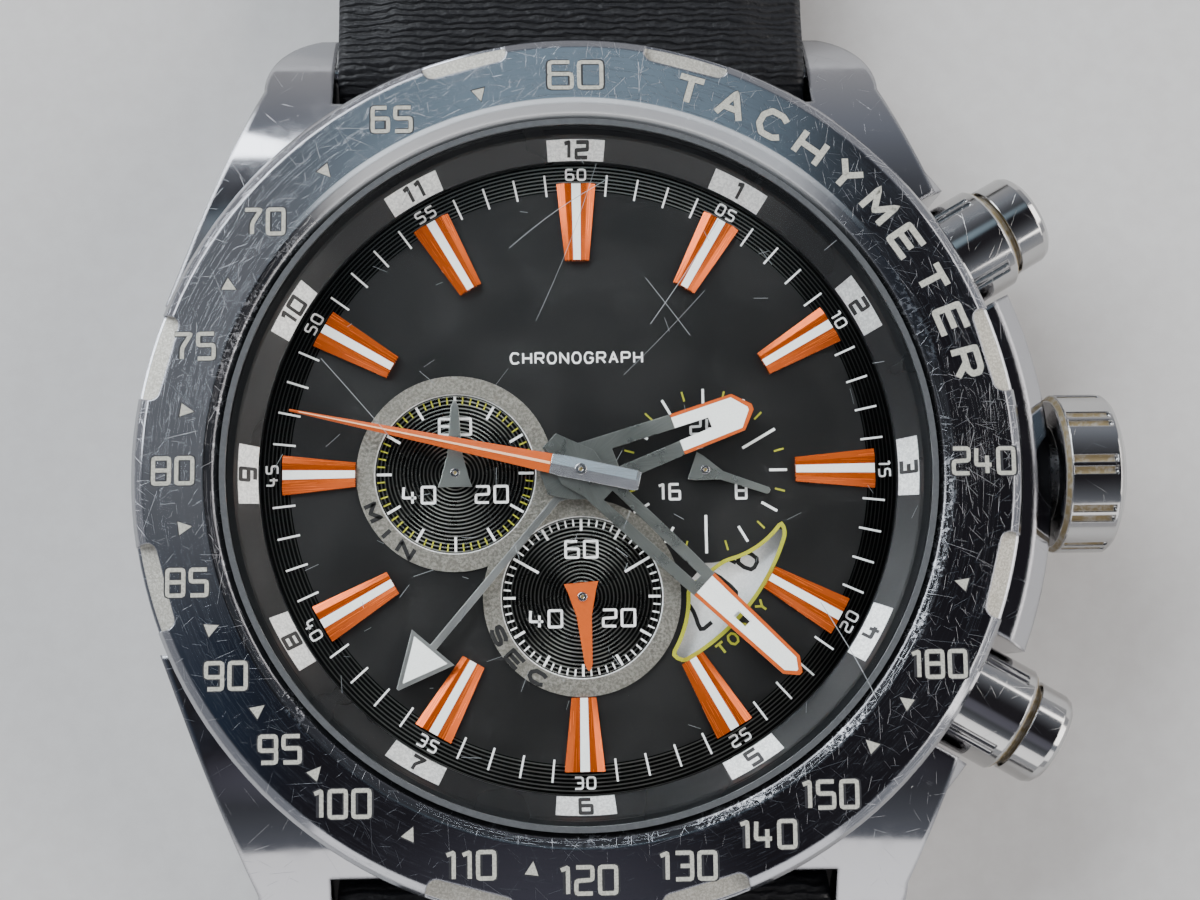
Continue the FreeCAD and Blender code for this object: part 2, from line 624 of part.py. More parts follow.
def spring_bar(sign):
    """Tube with a sprung pin in each end, along X."""
    y = sign * BAR_Y
    tube_half = 12.6
    barrel = Part.makeCylinder(BAR_R, 2 * tube_half, V(-tube_half, y, BAR_Z), V(1, 0, 0))
    pocket = 3.0
    pins = []
    for end in (1, -1):
        axis = V(end, 0, 0)
        start = V(end * (tube_half - pocket), y, BAR_Z)
        barrel = barrel.cut(Part.makeCylinder(0.45, pocket + 1, start, axis))
        pins.append(Part.makeCylinder(0.42, pocket + 1.7, start, axis))
    return group([barrel] + pins)


def keeper(y, thickness_under):
    half_in, wall, width = STRAP_END_W / 2 + 0.9, 1.0, 6.0
    low, high = thickness_under - wall, SHORT_BASE_Z + SHORT_END_T + 4.4
    outer = box(-half_in - wall, half_in + wall, y - width / 2, y + width / 2, low, high)
    inner = box(-half_in, half_in, y - width, y + width, low + wall, high - wall)
    return outer.cut(inner)


def buckle_frame():
    """Rectangular pin buckle with rounded corners, turning on the buckle bar."""
    ear, side_x, depth = 1.6, STRAP_END_W / 2 + 0.4, 13.0
    outer = box(-side_x - 2.4, side_x + 2.4, BUCKLE_Y - 1.6, BUCKLE_Y + depth, BUCKLE_Z - 1.3,
                BUCKLE_Z + 1.3)
    upright = [e for e in outer.Edges if e.BoundBox.ZLength > 1 and e.BoundBox.YMin > BUCKLE_Y]
    outer = outer.makeFillet(3.0, upright)
    inner = box(-side_x, side_x, BUCKLE_Y - 5, BUCKLE_Y + depth - 2.8, 0, 9)
    body = outer.cut(inner)
    pivot = Part.makeCylinder(BUCKLE_BAR_R, 2 * side_x + 2 * ear, V(-side_x - ear, BUCKLE_Y, BUCKLE_Z),
                              V(1, 0, 0))
    rest = box(-1.3, 1.3, BUCKLE_Y + depth - 3, BUCKLE_Y + depth + 1, BUCKLE_Z + 0.7, 9)
    return body.cut(pivot).cut(rest)


def buckle_bar():
    half = STRAP_END_W / 2 + 2.0
    return Part.makeCylinder(BUCKLE_BAR_R, 2 * half, V(-half, BUCKLE_Y, BUCKLE_Z), V(1, 0, 0))


def buckle_tang():
    eye = Part.makeCylinder(1.35, 2.2, V(-1.1, BUCKLE_Y, BUCKLE_Z), V(1, 0, 0))
    low, high = BUCKLE_Z, BUCKLE_Z + 1.15
    pin = box(-1.0, 1.0, BUCKLE_Y + 0.9, BUCKLE_Y + 13.3, BUCKLE_Z + 0.75, BUCKLE_Z + 1.75)
    root = side_profile([(BUCKLE_Y, low), (BUCKLE_Y + 2.4, BUCKLE_Z + 0.75),
                         (BUCKLE_Y + 2.4, BUCKLE_Z + 1.75), (BUCKLE_Y, high)], -1.0, 1.0)
    body = union([eye, root, pin])
    return body.cut(Part.makeCylinder(BUCKLE_BAR_R + CLEAR, 6, V(-3, BUCKLE_Y, BUCKLE_Z), V(1, 0, 0)))


# ---- assembly --------------------------------------------------------------------
def all_parts():
    left, low, right = (-SUBDIAL_OFFSET, 0), (0, -SUBDIAL_OFFSET), (SUBDIAL_OFFSET, 0)
    parts = {
        "case_middle": case_middle(),
        "bezel": bezel(),
        "crystal": crystal(),
        "crystal_gasket": ring(18.07, CRYSTAL_R + 0.03, CRYSTAL_BOTTOM_Z, 11.1),
        "inner_flange": inner_flange(),
        "movement_ring": movement_ring(),
        "case_back": case_back(),
        "case_back_gasket": ring(19.85, 19.35, CASE_BOTTOM_Z, CASE_BOTTOM_Z + 0.34),
        "crown": crown(),
        "crown_stem": crown_stem(),
        "crown_tube": crown_tube(),
        "crown_gasket": crown_gasket(),
        "setting_lever": setting_lever(),
        "dial_plate": dial_plate(),
        "hour_indexes": hour_indexes(),
        "counter_frame": counter_frame(),
        "date_disc": ring(11.9, 7.6, DISC_TOP_Z - 0.2, DISC_TOP_Z),
        "main_plate": main_plate(),
        "train_bridge": train_bridge(),
        "bridge_screws": bridge_screws(),
        "circuit_board": circuit_board(),
        "time_coil": stepper_coil(-7.4, 9.0, 40),
        "chrono_coil": stepper_coil(7.4, 9.0, -40),
        "time_rotor": rotor(*TIME_ROTOR),
        "chrono_rotor": rotor(*CHRONO_ROTOR),
        "battery": battery(),
        "battery_clamp": battery_clamp(),
        "quartz_can": quartz_can(),
    }
    for name, sign in (("2", 1), ("4", -1)):
        angle = sign * PUSHER_ANGLE
        parts["pusher_collar_" + name] = radial(pusher_collar(), angle)
        parts["pusher_button_" + name] = radial(pusher_button(), angle)
        parts["pusher_clip_" + name] = radial(pusher_clip(), angle)
        parts["pusher_spring_" + name] = radial(coil_spring(1.25, 0.3, 23.9, 27.4, 6), angle)
    seal = ring(1.2, 0.83, 21.05, 21.55)
    parts["pusher_gaskets"] = group([radial(seal, PUSHER_ANGLE), radial(seal, -PUSHER_ANGLE)])

    parts["chrono_seconds_hand"] = hand(CHRONO_HALF, CHRONO_Z, HAND_T, CHRONO_R, CHRONO_ANGLE)
    parts["minute_hand"] = hand(MINUTE_HALF, MINUTE_Z, HAND_T, MINUTE_R, MINUTE_ANGLE,
                                slots=MINUTE_SLOTS)
    parts["hour_hand"] = hand(HOUR_HALF, HOUR_Z, HAND_T, HOUR_R, HOUR_ANGLE, slots=(HOUR_SLOT,))
    parts["second_zone_hand"] = hand(ZONE_HALF, ZONE_Z, HAND_T, ZONE_R, ZONE_ANGLE)
    parts["minute_counter_hand"] = hand(SMALL_HALF, SMALL_HAND_Z, HAND_T, SMALL_R, COUNTER_ANGLE, *left)
    parts["small_seconds_hand"] = hand(SMALL_HALF, SMALL_HAND_Z, HAND_T, SMALL_R, SECONDS_ANGLE, *low)
    parts["day_hours_hand"] = hand(DAY_HALF, SMALL_HAND_Z, HAND_T, SMALL_R, DAY_ANGLE, *right)

    chrono_staff = cylinder(CHRONO_R, 4.0, 9.97).fuse(cylinder(2.4, 4.5, 4.62)).removeSplitter()
    parts["chrono_arbor"] = chrono_staff
    parts["minute_pipe"] = arbor(MINUTE_R, CHRONO_R + CLEAR, 4.75, MINUTE_Z + HAND_T + 0.05, 2.2)
    parts["hour_pipe"] = arbor(HOUR_R, MINUTE_R + CLEAR, 5.0, HOUR_Z + HAND_T + 0.05, 2.8)
    parts["zone_pipe"] = arbor(ZONE_R, HOUR_R + CLEAR, 5.25, ZONE_Z + HAND_T + 0.05, 3.0)
    parts["minute_counter_arbor"] = small_arbor(*left)
    parts["small_seconds_arbor"] = small_arbor(*low)
    parts["day_hours_arbor"] = small_arbor(*right)

    parts["strap_buckle_half"] = strap_buckle_half()
    parts["strap_hole_half"] = strap_hole_half()
    parts["spring_bar_12"] = spring_bar(1)
    parts["spring_bar_6"] = spring_bar(-1)
    parts["keeper_fixed"] = keeper(BUCKLE_Y - FIXED_KEEPER_BACK, SHORT_BASE_Z - 0.1)
    parts["keeper_loose"] = keeper(BUCKLE_Y - LOOSE_KEEPER_BACK, SHORT_BASE_Z - 0.3)
    parts["buckle_bar"] = buckle_bar()
    parts["buckle_frame"] = buckle_frame()
    parts["buckle_tang"] = buckle_tang()
    return parts


def main():
    os.makedirs("parts", exist_ok=True)
    for name, shape in all_parts().items():
        print(name, "valid" if shape.isValid() else "INVALID", len(shape.Solids), round(shape.Volume, 2))
        shape.exportStep("parts/" + name + ".step")


main()
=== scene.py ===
"""Chronograph wristwatch laid out flat: materials, dial printing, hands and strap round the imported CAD."""

import random
from functools import partialmethod
from math import cos, degrees, hypot, pi, radians, sin, sqrt, tau

import bmesh
import bpy
from mathutils import Matrix, Vector


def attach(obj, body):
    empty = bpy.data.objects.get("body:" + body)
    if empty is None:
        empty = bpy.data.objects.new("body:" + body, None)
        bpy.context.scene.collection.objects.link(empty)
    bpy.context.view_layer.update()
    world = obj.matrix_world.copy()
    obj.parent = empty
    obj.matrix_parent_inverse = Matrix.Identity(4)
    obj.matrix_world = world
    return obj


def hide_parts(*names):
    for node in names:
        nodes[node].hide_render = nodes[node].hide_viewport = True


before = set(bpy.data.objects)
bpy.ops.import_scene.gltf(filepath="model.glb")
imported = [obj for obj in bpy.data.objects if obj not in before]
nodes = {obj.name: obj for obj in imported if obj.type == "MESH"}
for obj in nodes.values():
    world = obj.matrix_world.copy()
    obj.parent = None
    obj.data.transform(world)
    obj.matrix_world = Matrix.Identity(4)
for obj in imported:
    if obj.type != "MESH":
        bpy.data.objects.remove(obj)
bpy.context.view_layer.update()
MM = 0.001

# ---- places taken over from the CAD, in millimetres ----
DIAL_TOP = 8.6
FLANGE_IN, FLANGE_FOOT, FLANGE_SLOPE = 16.4, 8.9, 1.05
BEZEL_IN, BEZEL_TOP, BEZEL_SLOPE = 18.8, 11.4, 0.0426
SUB = 6.42                      # counters from the dial's centre
LEFT, LOW, RIGHT = (-SUB, 0.0), (0.0, -SUB), (SUB, 0.0)
FLOOR_TOP = DIAL_TOP - 0.15     # sunk floor of the two counters
SIDE_Z = 5.2                    # crown and pusher axes
BAR_Y, BAR_Z = 23.0, 3.6        # spring bars
BUCKLE_Y, BUCKLE_Z = 98.0, 2.9  # bar of the buckle
CASE_R, RIM_R = 22.0, 21.0      # where scratches on the case and bezel are unrolled
CRYSTAL_TOP, DISC_TOP = 11.3, 8.05
DIAL_CENTRE = (0.0, 0.0)
PRINT = 0.012                   # thickness of printing


# ---- material building ----
def set_input(tree, node, key, value):
    """Links a socket, or stores a number, vector or colour."""
    socket = node.inputs[key]
    if isinstance(value, bpy.types.NodeSocket):
        tree.links.new(value, socket)
    elif socket.type == "RGBA":
        socket.default_value = (*value, 1)
    else:
        socket.default_value = value


def add_node(tree, kind, inputs=(), **props):
    """New node with its properties, and its inputs by number or name."""
    node = tree.nodes.new(kind)
    for key, value in props.items():
        setattr(node, key, value)
    for key, value in dict(inputs).items():
        set_input(tree, node, key, value)
    return node


class Look:
    """A node material built around one Principled shader, with lengths in millimetres."""

    def __init__(self, name, color, **sockets):
        self.mat = bpy.data.materials.new(name)
        self.mat.use_nodes = True
        self.tree = self.mat.node_tree
        self.bsdf = self.tree.nodes["Principled BSDF"]
        self.color = color
        self.set("Base Color", color)
        for key, value in sockets.items():
            self.set(key.replace("_", " "), value)
        coord = self.add("ShaderNodeTexCoord")
        scale = self.add("ShaderNodeVectorMath", {0: coord.outputs["Object"], "Scale": 1 / MM}, operation="SCALE")
        self.place = scale.outputs[0]
        self.x, self.y, self.z = self.split(self.place)
        self.up = self.split(coord.outputs["Normal"])[2]
        self.normal = None

    def add(self, kind, inputs=(), **props):
        return add_node(self.tree, kind, inputs, **props)

    def set(self, key, value):
        """Sets an input of the shader itself."""
        set_input(self.tree, self.bsdf, key, value)
        return self

    def math(self, operation, *values):
        return self.add("ShaderNodeMath", enumerate(values), operation=operation).outputs[0]

    times, plus = partialmethod(math, "MULTIPLY"), partialmethod(math, "ADD")
    minus, most = partialmethod(math, "SUBTRACT"), partialmethod(math, "MAXIMUM")
    size = partialmethod(math, "ABSOLUTE")

    def split(self, vector):
        return self.add("ShaderNodeSeparateXYZ", {0: vector}).outputs

    def join(self, x, y, z=0.0):
        return self.add("ShaderNodeCombineXYZ", {0: x, 1: y, 2: z}).outputs[0]

    def length(self, a, b):
        return self.math("SQRT", self.plus(self.times(a, a), self.times(b, b)))

    def radius(self, x=0.0, y=0.0):
        return self.length(self.minus(self.x, x), self.minus(self.y, y))

    def angle(self):
        return self.math("ARCTAN2", self.y, self.x)

    def polar(self, along, across):
        """Vector of (angle, radius, z) about the dial's axis, scaled."""
        return self.join(self.times(self.angle(), along), self.times(self.radius(), across), self.z)

    def noise(self, scale, detail=2.0, rough=0.5, where=None, distort=0.0):
        return self.add("ShaderNodeTexNoise", {"Vector": where or self.place, "Scale": scale, "Detail": detail,
                                               "Roughness": rough, "Distortion": distort}).outputs["Fac"]

    def step(self, value, low, high, start=0.0, end=1.0):
        """Smooth change from start to end while value goes from low to high."""
        return self.add("ShaderNodeMapRange", enumerate((value, low, high, start, end)),
                        interpolation_type="SMOOTHSTEP").outputs[0]

    def mix(self, fac, a, b):
        return self.add("ShaderNodeMix", {0: fac, 6: a, 7: b}, data_type="RGBA").outputs[2]

    def paint(self, fac, color):
        """Lays a colour over the base colour by a factor."""
        self.color = self.mix(fac, self.color, color)
        return self.set("Base Color", self.color)

    def rough(self, value):
        return self.set("Roughness", value)

    def uneven(self, tone, low, high):
        """Roughness that follows a tone."""
        return self.rough(self.step(tone, 0.3, 0.7, low, high))

    def lean(self, normal):
        self.normal = normal
        return self.set("Normal", normal)

    def bump(self, height, depth):
        """Adds relief: height from 0 to 1 stands for depth in millimetres."""
        inputs = {"Strength": 1.0, "Distance": depth * MM, "Height": height}
        if self.normal is not None:
            inputs["Normal"] = self.normal
        return self.lean(self.add("ShaderNodeBump", inputs).outputs[0])

    def soft_edges(self, reach):
        """Rounds the shading of sharp edges over a reach in millimetres."""
        return self.lean(self.add("ShaderNodeBevel", {"Radius": reach * MM}, samples=6).outputs[0])

    def grained(self, grain, low, high, tone, rough, spread, depth):
        """Lets colour, roughness and relief follow one grain."""
        self.paint(self.step(grain, low, high), tone)
        return self.uneven(grain, rough, rough + spread).bump(grain, depth)

    def skin(self, reach):
        """Position laid flat: from above on level faces, unrolled about the dial's axis on upright ones."""
        level = self.math("GREATER_THAN", self.size(self.up), 0.65)
        unrolled = self.join(self.times(self.angle(), reach), self.z)
        above = self.join(self.x, self.y)
        return self.add("ShaderNodeMix", {0: level, 4: unrolled, 5: above}, data_type="VECTOR").outputs[1]

    def nicks(self, where, scale, width, share, seed):
        """Short straight scratches, one at most in each cell: 1 in a scratch and 0 elsewhere."""
        shifted = self.add("ShaderNodeVectorMath", {0: where, 1: (scale,) * 3, 2: (seed * 3.7, seed * 8.3, 0.0)},
                           operation="MULTIPLY_ADD").outputs[0]
        cells = self.add("ShaderNodeTexVoronoi", {"Vector": shifted, "Scale": 1.0}, voronoi_dimensions="2D")
        away = self.add("ShaderNodeVectorMath", {0: shifted, 1: cells.outputs["Position"]}, operation="SUBTRACT")
        turn, chance = self.split(cells.outputs["Color"])[:2]
        turned = self.add("ShaderNodeVectorRotate", {"Vector": away.outputs[0], "Angle": self.times(turn, tau)},
                          rotation_type="Z_AXIS")
        along, across = self.split(turned.outputs[0])[:2]
        line = self.step(self.size(across), 0.3 * width * scale, width * scale, 1.0, 0.0)
        ends = self.step(self.size(along), 0.25, 0.48, 1.0, 0.0)
        return self.times(self.times(line, ends), self.math("LESS_THAN", chance, share))

    def scratches(self, where, layers, share):
        """Nicks of several sizes over each other, from (scale, width, strength, seed)."""
        wear = 0.0
        for scale, width, strength, seed in layers:
            wear = self.most(wear, self.times(self.nicks(where, scale, width, share, seed), strength))
        return wear


def tinted(color, gain, lift=0.0):
    return tuple(min(1.0, gain * c + lift) for c in color)


def steel(name, color, rough, share, seed, soft=0.10):
    """Polished steel with smudges, hairline scratches and small nicks."""
    look = Look(name, color, Metallic=1.0).soft_edges(soft)
    smudge = look.noise(0.35, 4.0, 0.65)
    layers = [(scale, width, 1.0, seed + scale) for scale, width in ((0.30, 0.006), (0.55, 0.006), (1.1, 0.008))]
    fine = look.scratches(look.skin(CASE_R), layers, share)
    look.paint(look.times(fine, 0.35), tinted(color, 1.3))
    look.rough(look.plus(look.step(smudge, 0.35, 0.75, rough, rough + 0.10), look.times(fine, 0.18)))
    return look.bump(look.minus(1.0, fine), 0.0015)


def steel_case():
    look = steel("polished_steel_case", (0.46, 0.46, 0.48), 0.06, 0.40, 2.0, 0.35)
    nick = look.noise(1.5, 3.0, 0.7)
    look.paint(look.step(nick, 0.72, 0.76), (0.75, 0.74, 0.72))
    return look.bump(look.step(nick, 0.72, 0.76, 1.0, 0.0), 0.012).mat


def steel_bezel():
    """Mirror steel, scratched all over, with blasted notch floors."""
    look = Look("scratched_bezel_steel", (0.40, 0.405, 0.43), Metallic=1.0).soft_edges(0.16)
    ring = look.radius()
    look.paint(look.step(ring, 18.84, 18.76), (0.20, 0.20, 0.21))
    # Most of the wear is on the side by the crown, above it.
    side = look.plus(look.times(look.x, 0.030), look.times(look.y, 0.022))
    worst = look.step(side, -0.35, 0.75, 0.42, 0.98)
    layers = [(scale, 0.006, strength, 5.0 + 3 * scale) for scale, strength in (
        (0.26, 0.8), (0.40, 0.9), (0.62, 0.8), (0.85, 0.8), (1.2, 0.8), (1.7, 0.7))]
    wear = look.scratches(look.skin(RIM_R), layers, worst)
    around = look.noise(1.0, 2.0, 0.6, look.polar(3.0, 7.0), 0.2)
    around = look.step(look.size(look.minus(around, 0.5)), 0.001, 0.005, 0.5, 0.0)
    # The inner lip gets a painted highlight at the top and is pitted in patches elsewhere.
    top = look.step(look.math("DIVIDE", look.y, ring), 0.50, 0.86)
    painted_lip_highlight = look.times(look.step(ring, 19.16, 19.04), top)
    pits = look.step(look.noise(3.6, 4.0, 0.7), 0.50, 0.60)
    patchy = look.step(look.noise(0.30, 2.0, 0.5), 0.44, 0.60)
    worn = look.times(look.step(ring, 19.10, 18.85), look.times(pits, patchy))
    wear = look.most(look.most(wear, around), look.times(worn, 0.8))
    haze = look.noise(0.22, 3.0, 0.6)
    # Scratches and pits are painted lighter, and the inner lip's top gets a bright painted highlight.
    look.paint(look.times(wear, 0.6), (0.74, 0.76, 0.80)).paint(painted_lip_highlight, (0.92, 0.93, 0.94))
    # The notch floors lie outside the wall of the rim and below the bezel's top.
    outside = look.times(look.step(ring, 21.38, 21.42), look.step(ring, 22.36, 22.30))
    below = look.step(look.z, 10.95, 10.85)
    level = look.step(look.size(look.up), 0.5, 0.7)
    floor = look.times(look.times(outside, below), level)
    grit = look.noise(9.0, 3.0, 0.7)
    look.paint(floor, look.mix(look.step(grit, 0.4, 0.65), (0.50, 0.48, 0.42), (0.72, 0.70, 0.64)))
    rough = look.plus(look.step(haze, 0.35, 0.7, 0.05, 0.13), look.times(wear, 0.26))
    look.rough(look.most(rough, look.most(look.times(floor, 0.62), look.times(painted_lip_highlight, 0.50))))
    return look.bump(look.minus(1.0, wear), 0.002).bump(look.times(grit, floor), 0.03).mat


def plain_steel(name, color=(0.50, 0.50, 0.51), rough=0.14, seed=1.0, soft=0.05):
    return steel(name, color, rough, 0.5, seed, soft).mat


def side_steel(name, pusher_angle):
    """Polished crown or pusher with yellowish dirt in its grooves."""
    look = steel(name, (0.52, 0.515, 0.51), 0.06, 0.5, 7.0 + pusher_angle)
    c, s = cos(radians(pusher_angle)), sin(radians(pusher_angle))
    along = look.plus(look.times(look.x, c), look.times(look.y, s))
    aside = look.minus(look.times(look.y, c), look.times(look.x, s))
    out = look.length(aside, look.minus(look.z, SIDE_Z))
    if pusher_angle:
        slot = look.step(look.size(look.minus(along, 26.32)), 0.26, 0.16)
        dirt = look.times(slot, look.step(out, 2.1, 2.2))
    else:
        skin = look.times(look.step(out, 4.23, 4.15), look.step(out, 3.9, 4.0))
        dirt = look.times(skin, look.step(along, 27.75, 27.6))
    grime = look.step(look.noise(2.2, 3.0, 0.7), 0.30, 0.62)
    look.paint(look.times(dirt, look.step(grime, 0, 1, 0.55, 1.0)), (0.26, 0.20, 0.10))
    look.set("Metallic", look.step(dirt, 0.2, 0.8, 1.0, 0.25))
    return look.rough(look.plus(look.step(dirt, 0, 1, 0.07, 0.6), look.times(look.noise(1.5), 0.08))).mat


def back_steel():
    look = steel("case_back_steel", (0.52, 0.52, 0.52), 0.2, 0.6, 9.0)
    rings = look.noise(1.0, 3.0, 0.6, look.polar(1.2, 14.0))
    return look.paint(look.times(rings, 0.4), (0.42, 0.42, 0.43)).bump(rings, 0.012).mat


def crystal_glass():
    """Clear mineral glass, coated against reflections, that lets light through to the dial."""
    look = Look("mineral_crystal", (1.0, 1.0, 1.0), Roughness=0.0, IOR=1.08, Transmission_Weight=1.0)
    smear = look.step(look.noise(0.12, 3.0, 0.6), 0.55, 0.75)
    look.rough(look.times(smear, 0.02))
    clear = look.add("ShaderNodeBsdfTransparent", {"Color": (0.97, 0.985, 0.98)})
    shadow = look.add("ShaderNodeLightPath").outputs["Is Shadow Ray"]
    both = look.add("ShaderNodeMixShader", {0: shadow, 1: look.bsdf.outputs[0], 2: clear.outputs[0]})
    set_input(look.tree, look.tree.nodes["Material Output"], "Surface", both.outputs[0])
    return look.mat


def satin_black(name, color, rough, grain, depth):
    """Fine-grained dark lacquer."""
    look = Look(name, color, Specular_IOR_Level=0.5)
    dust = look.noise(grain, 3.0, 0.65)
    look.paint(look.step(dust, 0.42, 0.72), tinted(color, 1.3))
    look.uneven(look.noise(0.22, 2.0, 0.5), rough - 0.05, rough + 0.06)
    return (look.bump(dust, depth) if depth else look).mat


def turned(name, dark, light, rough, centre, start, pitch):
    """Lathe-cut lacquer: bright rings painted on dark as the grooves' highlights, with painted highlights that fan out
    from the centre.
    """
    look = Look(name, dark, Metallic=1.0, Anisotropic=0.75)
    out = look.radius(*centre)
    phase = look.times(look.minus(out, start), tau / pitch)
    painted_crest_highlight = look.math("MULTIPLY_ADD", look.math("COSINE", phase), -0.5, 0.5)
    dx, dy = look.minus(look.x, centre[0]), look.minus(look.y, centre[1])
    # Painted highlight: the rings are brighter in a fan above and below the centre.
    painted_fan_highlight = look.step(look.size(look.math("DIVIDE", dy, look.most(out, 0.1))), 0.55, 1.0, 0.22, 1.0)
    # The light colour is painted on the groove crests as a highlight, strongest in the fan.
    look.paint(look.times(look.step(painted_crest_highlight, 0.52, 1.0), painted_fan_highlight), light)
    look.set("Tangent", look.join(look.times(dy, -1.0), dx))
    return look.uneven(look.noise(0.9, 3.0), rough, rough + 0.04).mat


def ink(name, color, rough, speckle, depth=0.003):
    """Printed or filled paint with a slightly uneven tone."""
    look = Look(name, color)
    return look.grained(look.noise(11.0, 3.0, 0.7), 0.62, 0.30, tinted(color, 1.0 - 2.4 * speckle), rough, 0.12,
                        depth).mat


def sparkle(name, color, other, rough, metallic, scale):
    """Sprayed metallic coat with visible grains."""
    look = Look(name, color, Metallic=metallic)
    return look.grained(look.noise(scale, 3.0, 0.75), 0.40, 0.62, other, rough, 0.15, 0.02).mat


def index_orange():
    """Metallic orange, brushed along each baton's facets."""
    look = Look("metallic_orange", (0.50, 0.078, 0.004), Metallic=0.6)
    brushed = look.noise(1.0, 2.0, 0.6, look.polar(200.0, 0.3))
    return look.paint(look.step(brushed, 0.3, 0.8), (0.55, 0.095, 0.006)).uneven(brushed, 0.24, 0.28).mat


def hand_grey(name, color, rough):
    """Glossy grey plating with a faint lengthwise grain."""
    look = Look(name, color, Metallic=0.9).soft_edges(0.05)
    brushed = look.noise(1.0, 2.0, 0.6, look.polar(60.0, 0.5))
    look.paint(look.step(brushed, 0.35, 0.7), tinted(color, 1.2))
    # Darker towards the centre of the dial, lighter outwards.
    look.paint(look.step(look.radius(), 2.5, 7.5), tinted(color, 1.7))
    return look.uneven(look.noise(0.8, 2.0), rough, rough + 0.08).mat


def leather(name, color, rib_depth, rough=0.46):
    """Black leather with a fine crosswise wavy grain and bluish sheen."""
    look = Look(name, color, Sheen_Weight=0.05, Sheen_Roughness=0.4, Specular_IOR_Level=0.35,
                Sheen_Tint=(0.55, 0.65, 0.9))
    drawn = look.add("ShaderNodeMapping", {"Vector": look.place, "Scale": (1 / 0.55, 1.0, 1 / 0.6)},
                     vector_type="TEXTURE").outputs[0]
    ribs = look.add("ShaderNodeTexWave", {"Vector": drawn, "Scale": 0.80, "Distortion": 5.0, "Detail": 3.0,
                                          "Detail Scale": 1.8},
                    wave_type="BANDS", bands_direction="Y", wave_profile="SIN").outputs["Fac"]
    pores = look.noise(3.4, 4.0, 0.7)
    look.paint(look.step(ribs, 0.35, 0.95), tinted(color, 2.0, 0.001))
    look.paint(look.step(look.noise(0.12, 3.0), 0.55, 0.8), tinted(color, 1.5, 0.001))
    return look.uneven(pores, rough - 0.06, rough + 0.14).bump(ribs, rib_depth).bump(pores, 0.03).mat


def lining():
    look = Look("strap_lining", (0.055, 0.045, 0.040), Sheen_Weight=0.1)
    return look.grained(look.noise(2.4, 4.0, 0.7), 0.4, 0.7, (0.085, 0.070, 0.060), 0.5, 0.22, 0.05).mat


def solid(name, color, metallic, rough, grain=3.0, depth=0.01):
    """Plain finish with a fine tone and relief of its own."""
    look = Look(name, color, Metallic=metallic)
    return look.grained(look.noise(grain, 4.0, 0.6), 0.35, 0.75, tinted(color, 1.25), rough, 0.12, depth).mat


def circuit_green():
    look = Look("circuit_green", (0.02, 0.12, 0.05), Coat_Weight=0.3)
    tracks = look.add("ShaderNodeTexBrick", {"Vector": look.place, "Scale": 0.55, "Mortar Size": 0.035}, offset=0.5)
    return look.paint(tracks.outputs["Fac"], (0.62, 0.42, 0.14)).uneven(look.noise(2.0), 0.35, 0.5).mat


def wound_copper():
    look = Look("wound_copper", (0.72, 0.32, 0.14), Metallic=0.9)
    turns = look.add("ShaderNodeTexWave", {"Vector": look.place, "Scale": 3.0}, wave_type="BANDS",
                     bands_direction="X").outputs["Fac"]
    look.paint(look.step(turns, 0.0, 0.6, 1.0, 0.0), (0.25, 0.09, 0.04))
    return look.uneven(look.noise(2.0), 0.3, 0.45).bump(turns, 0.03).mat


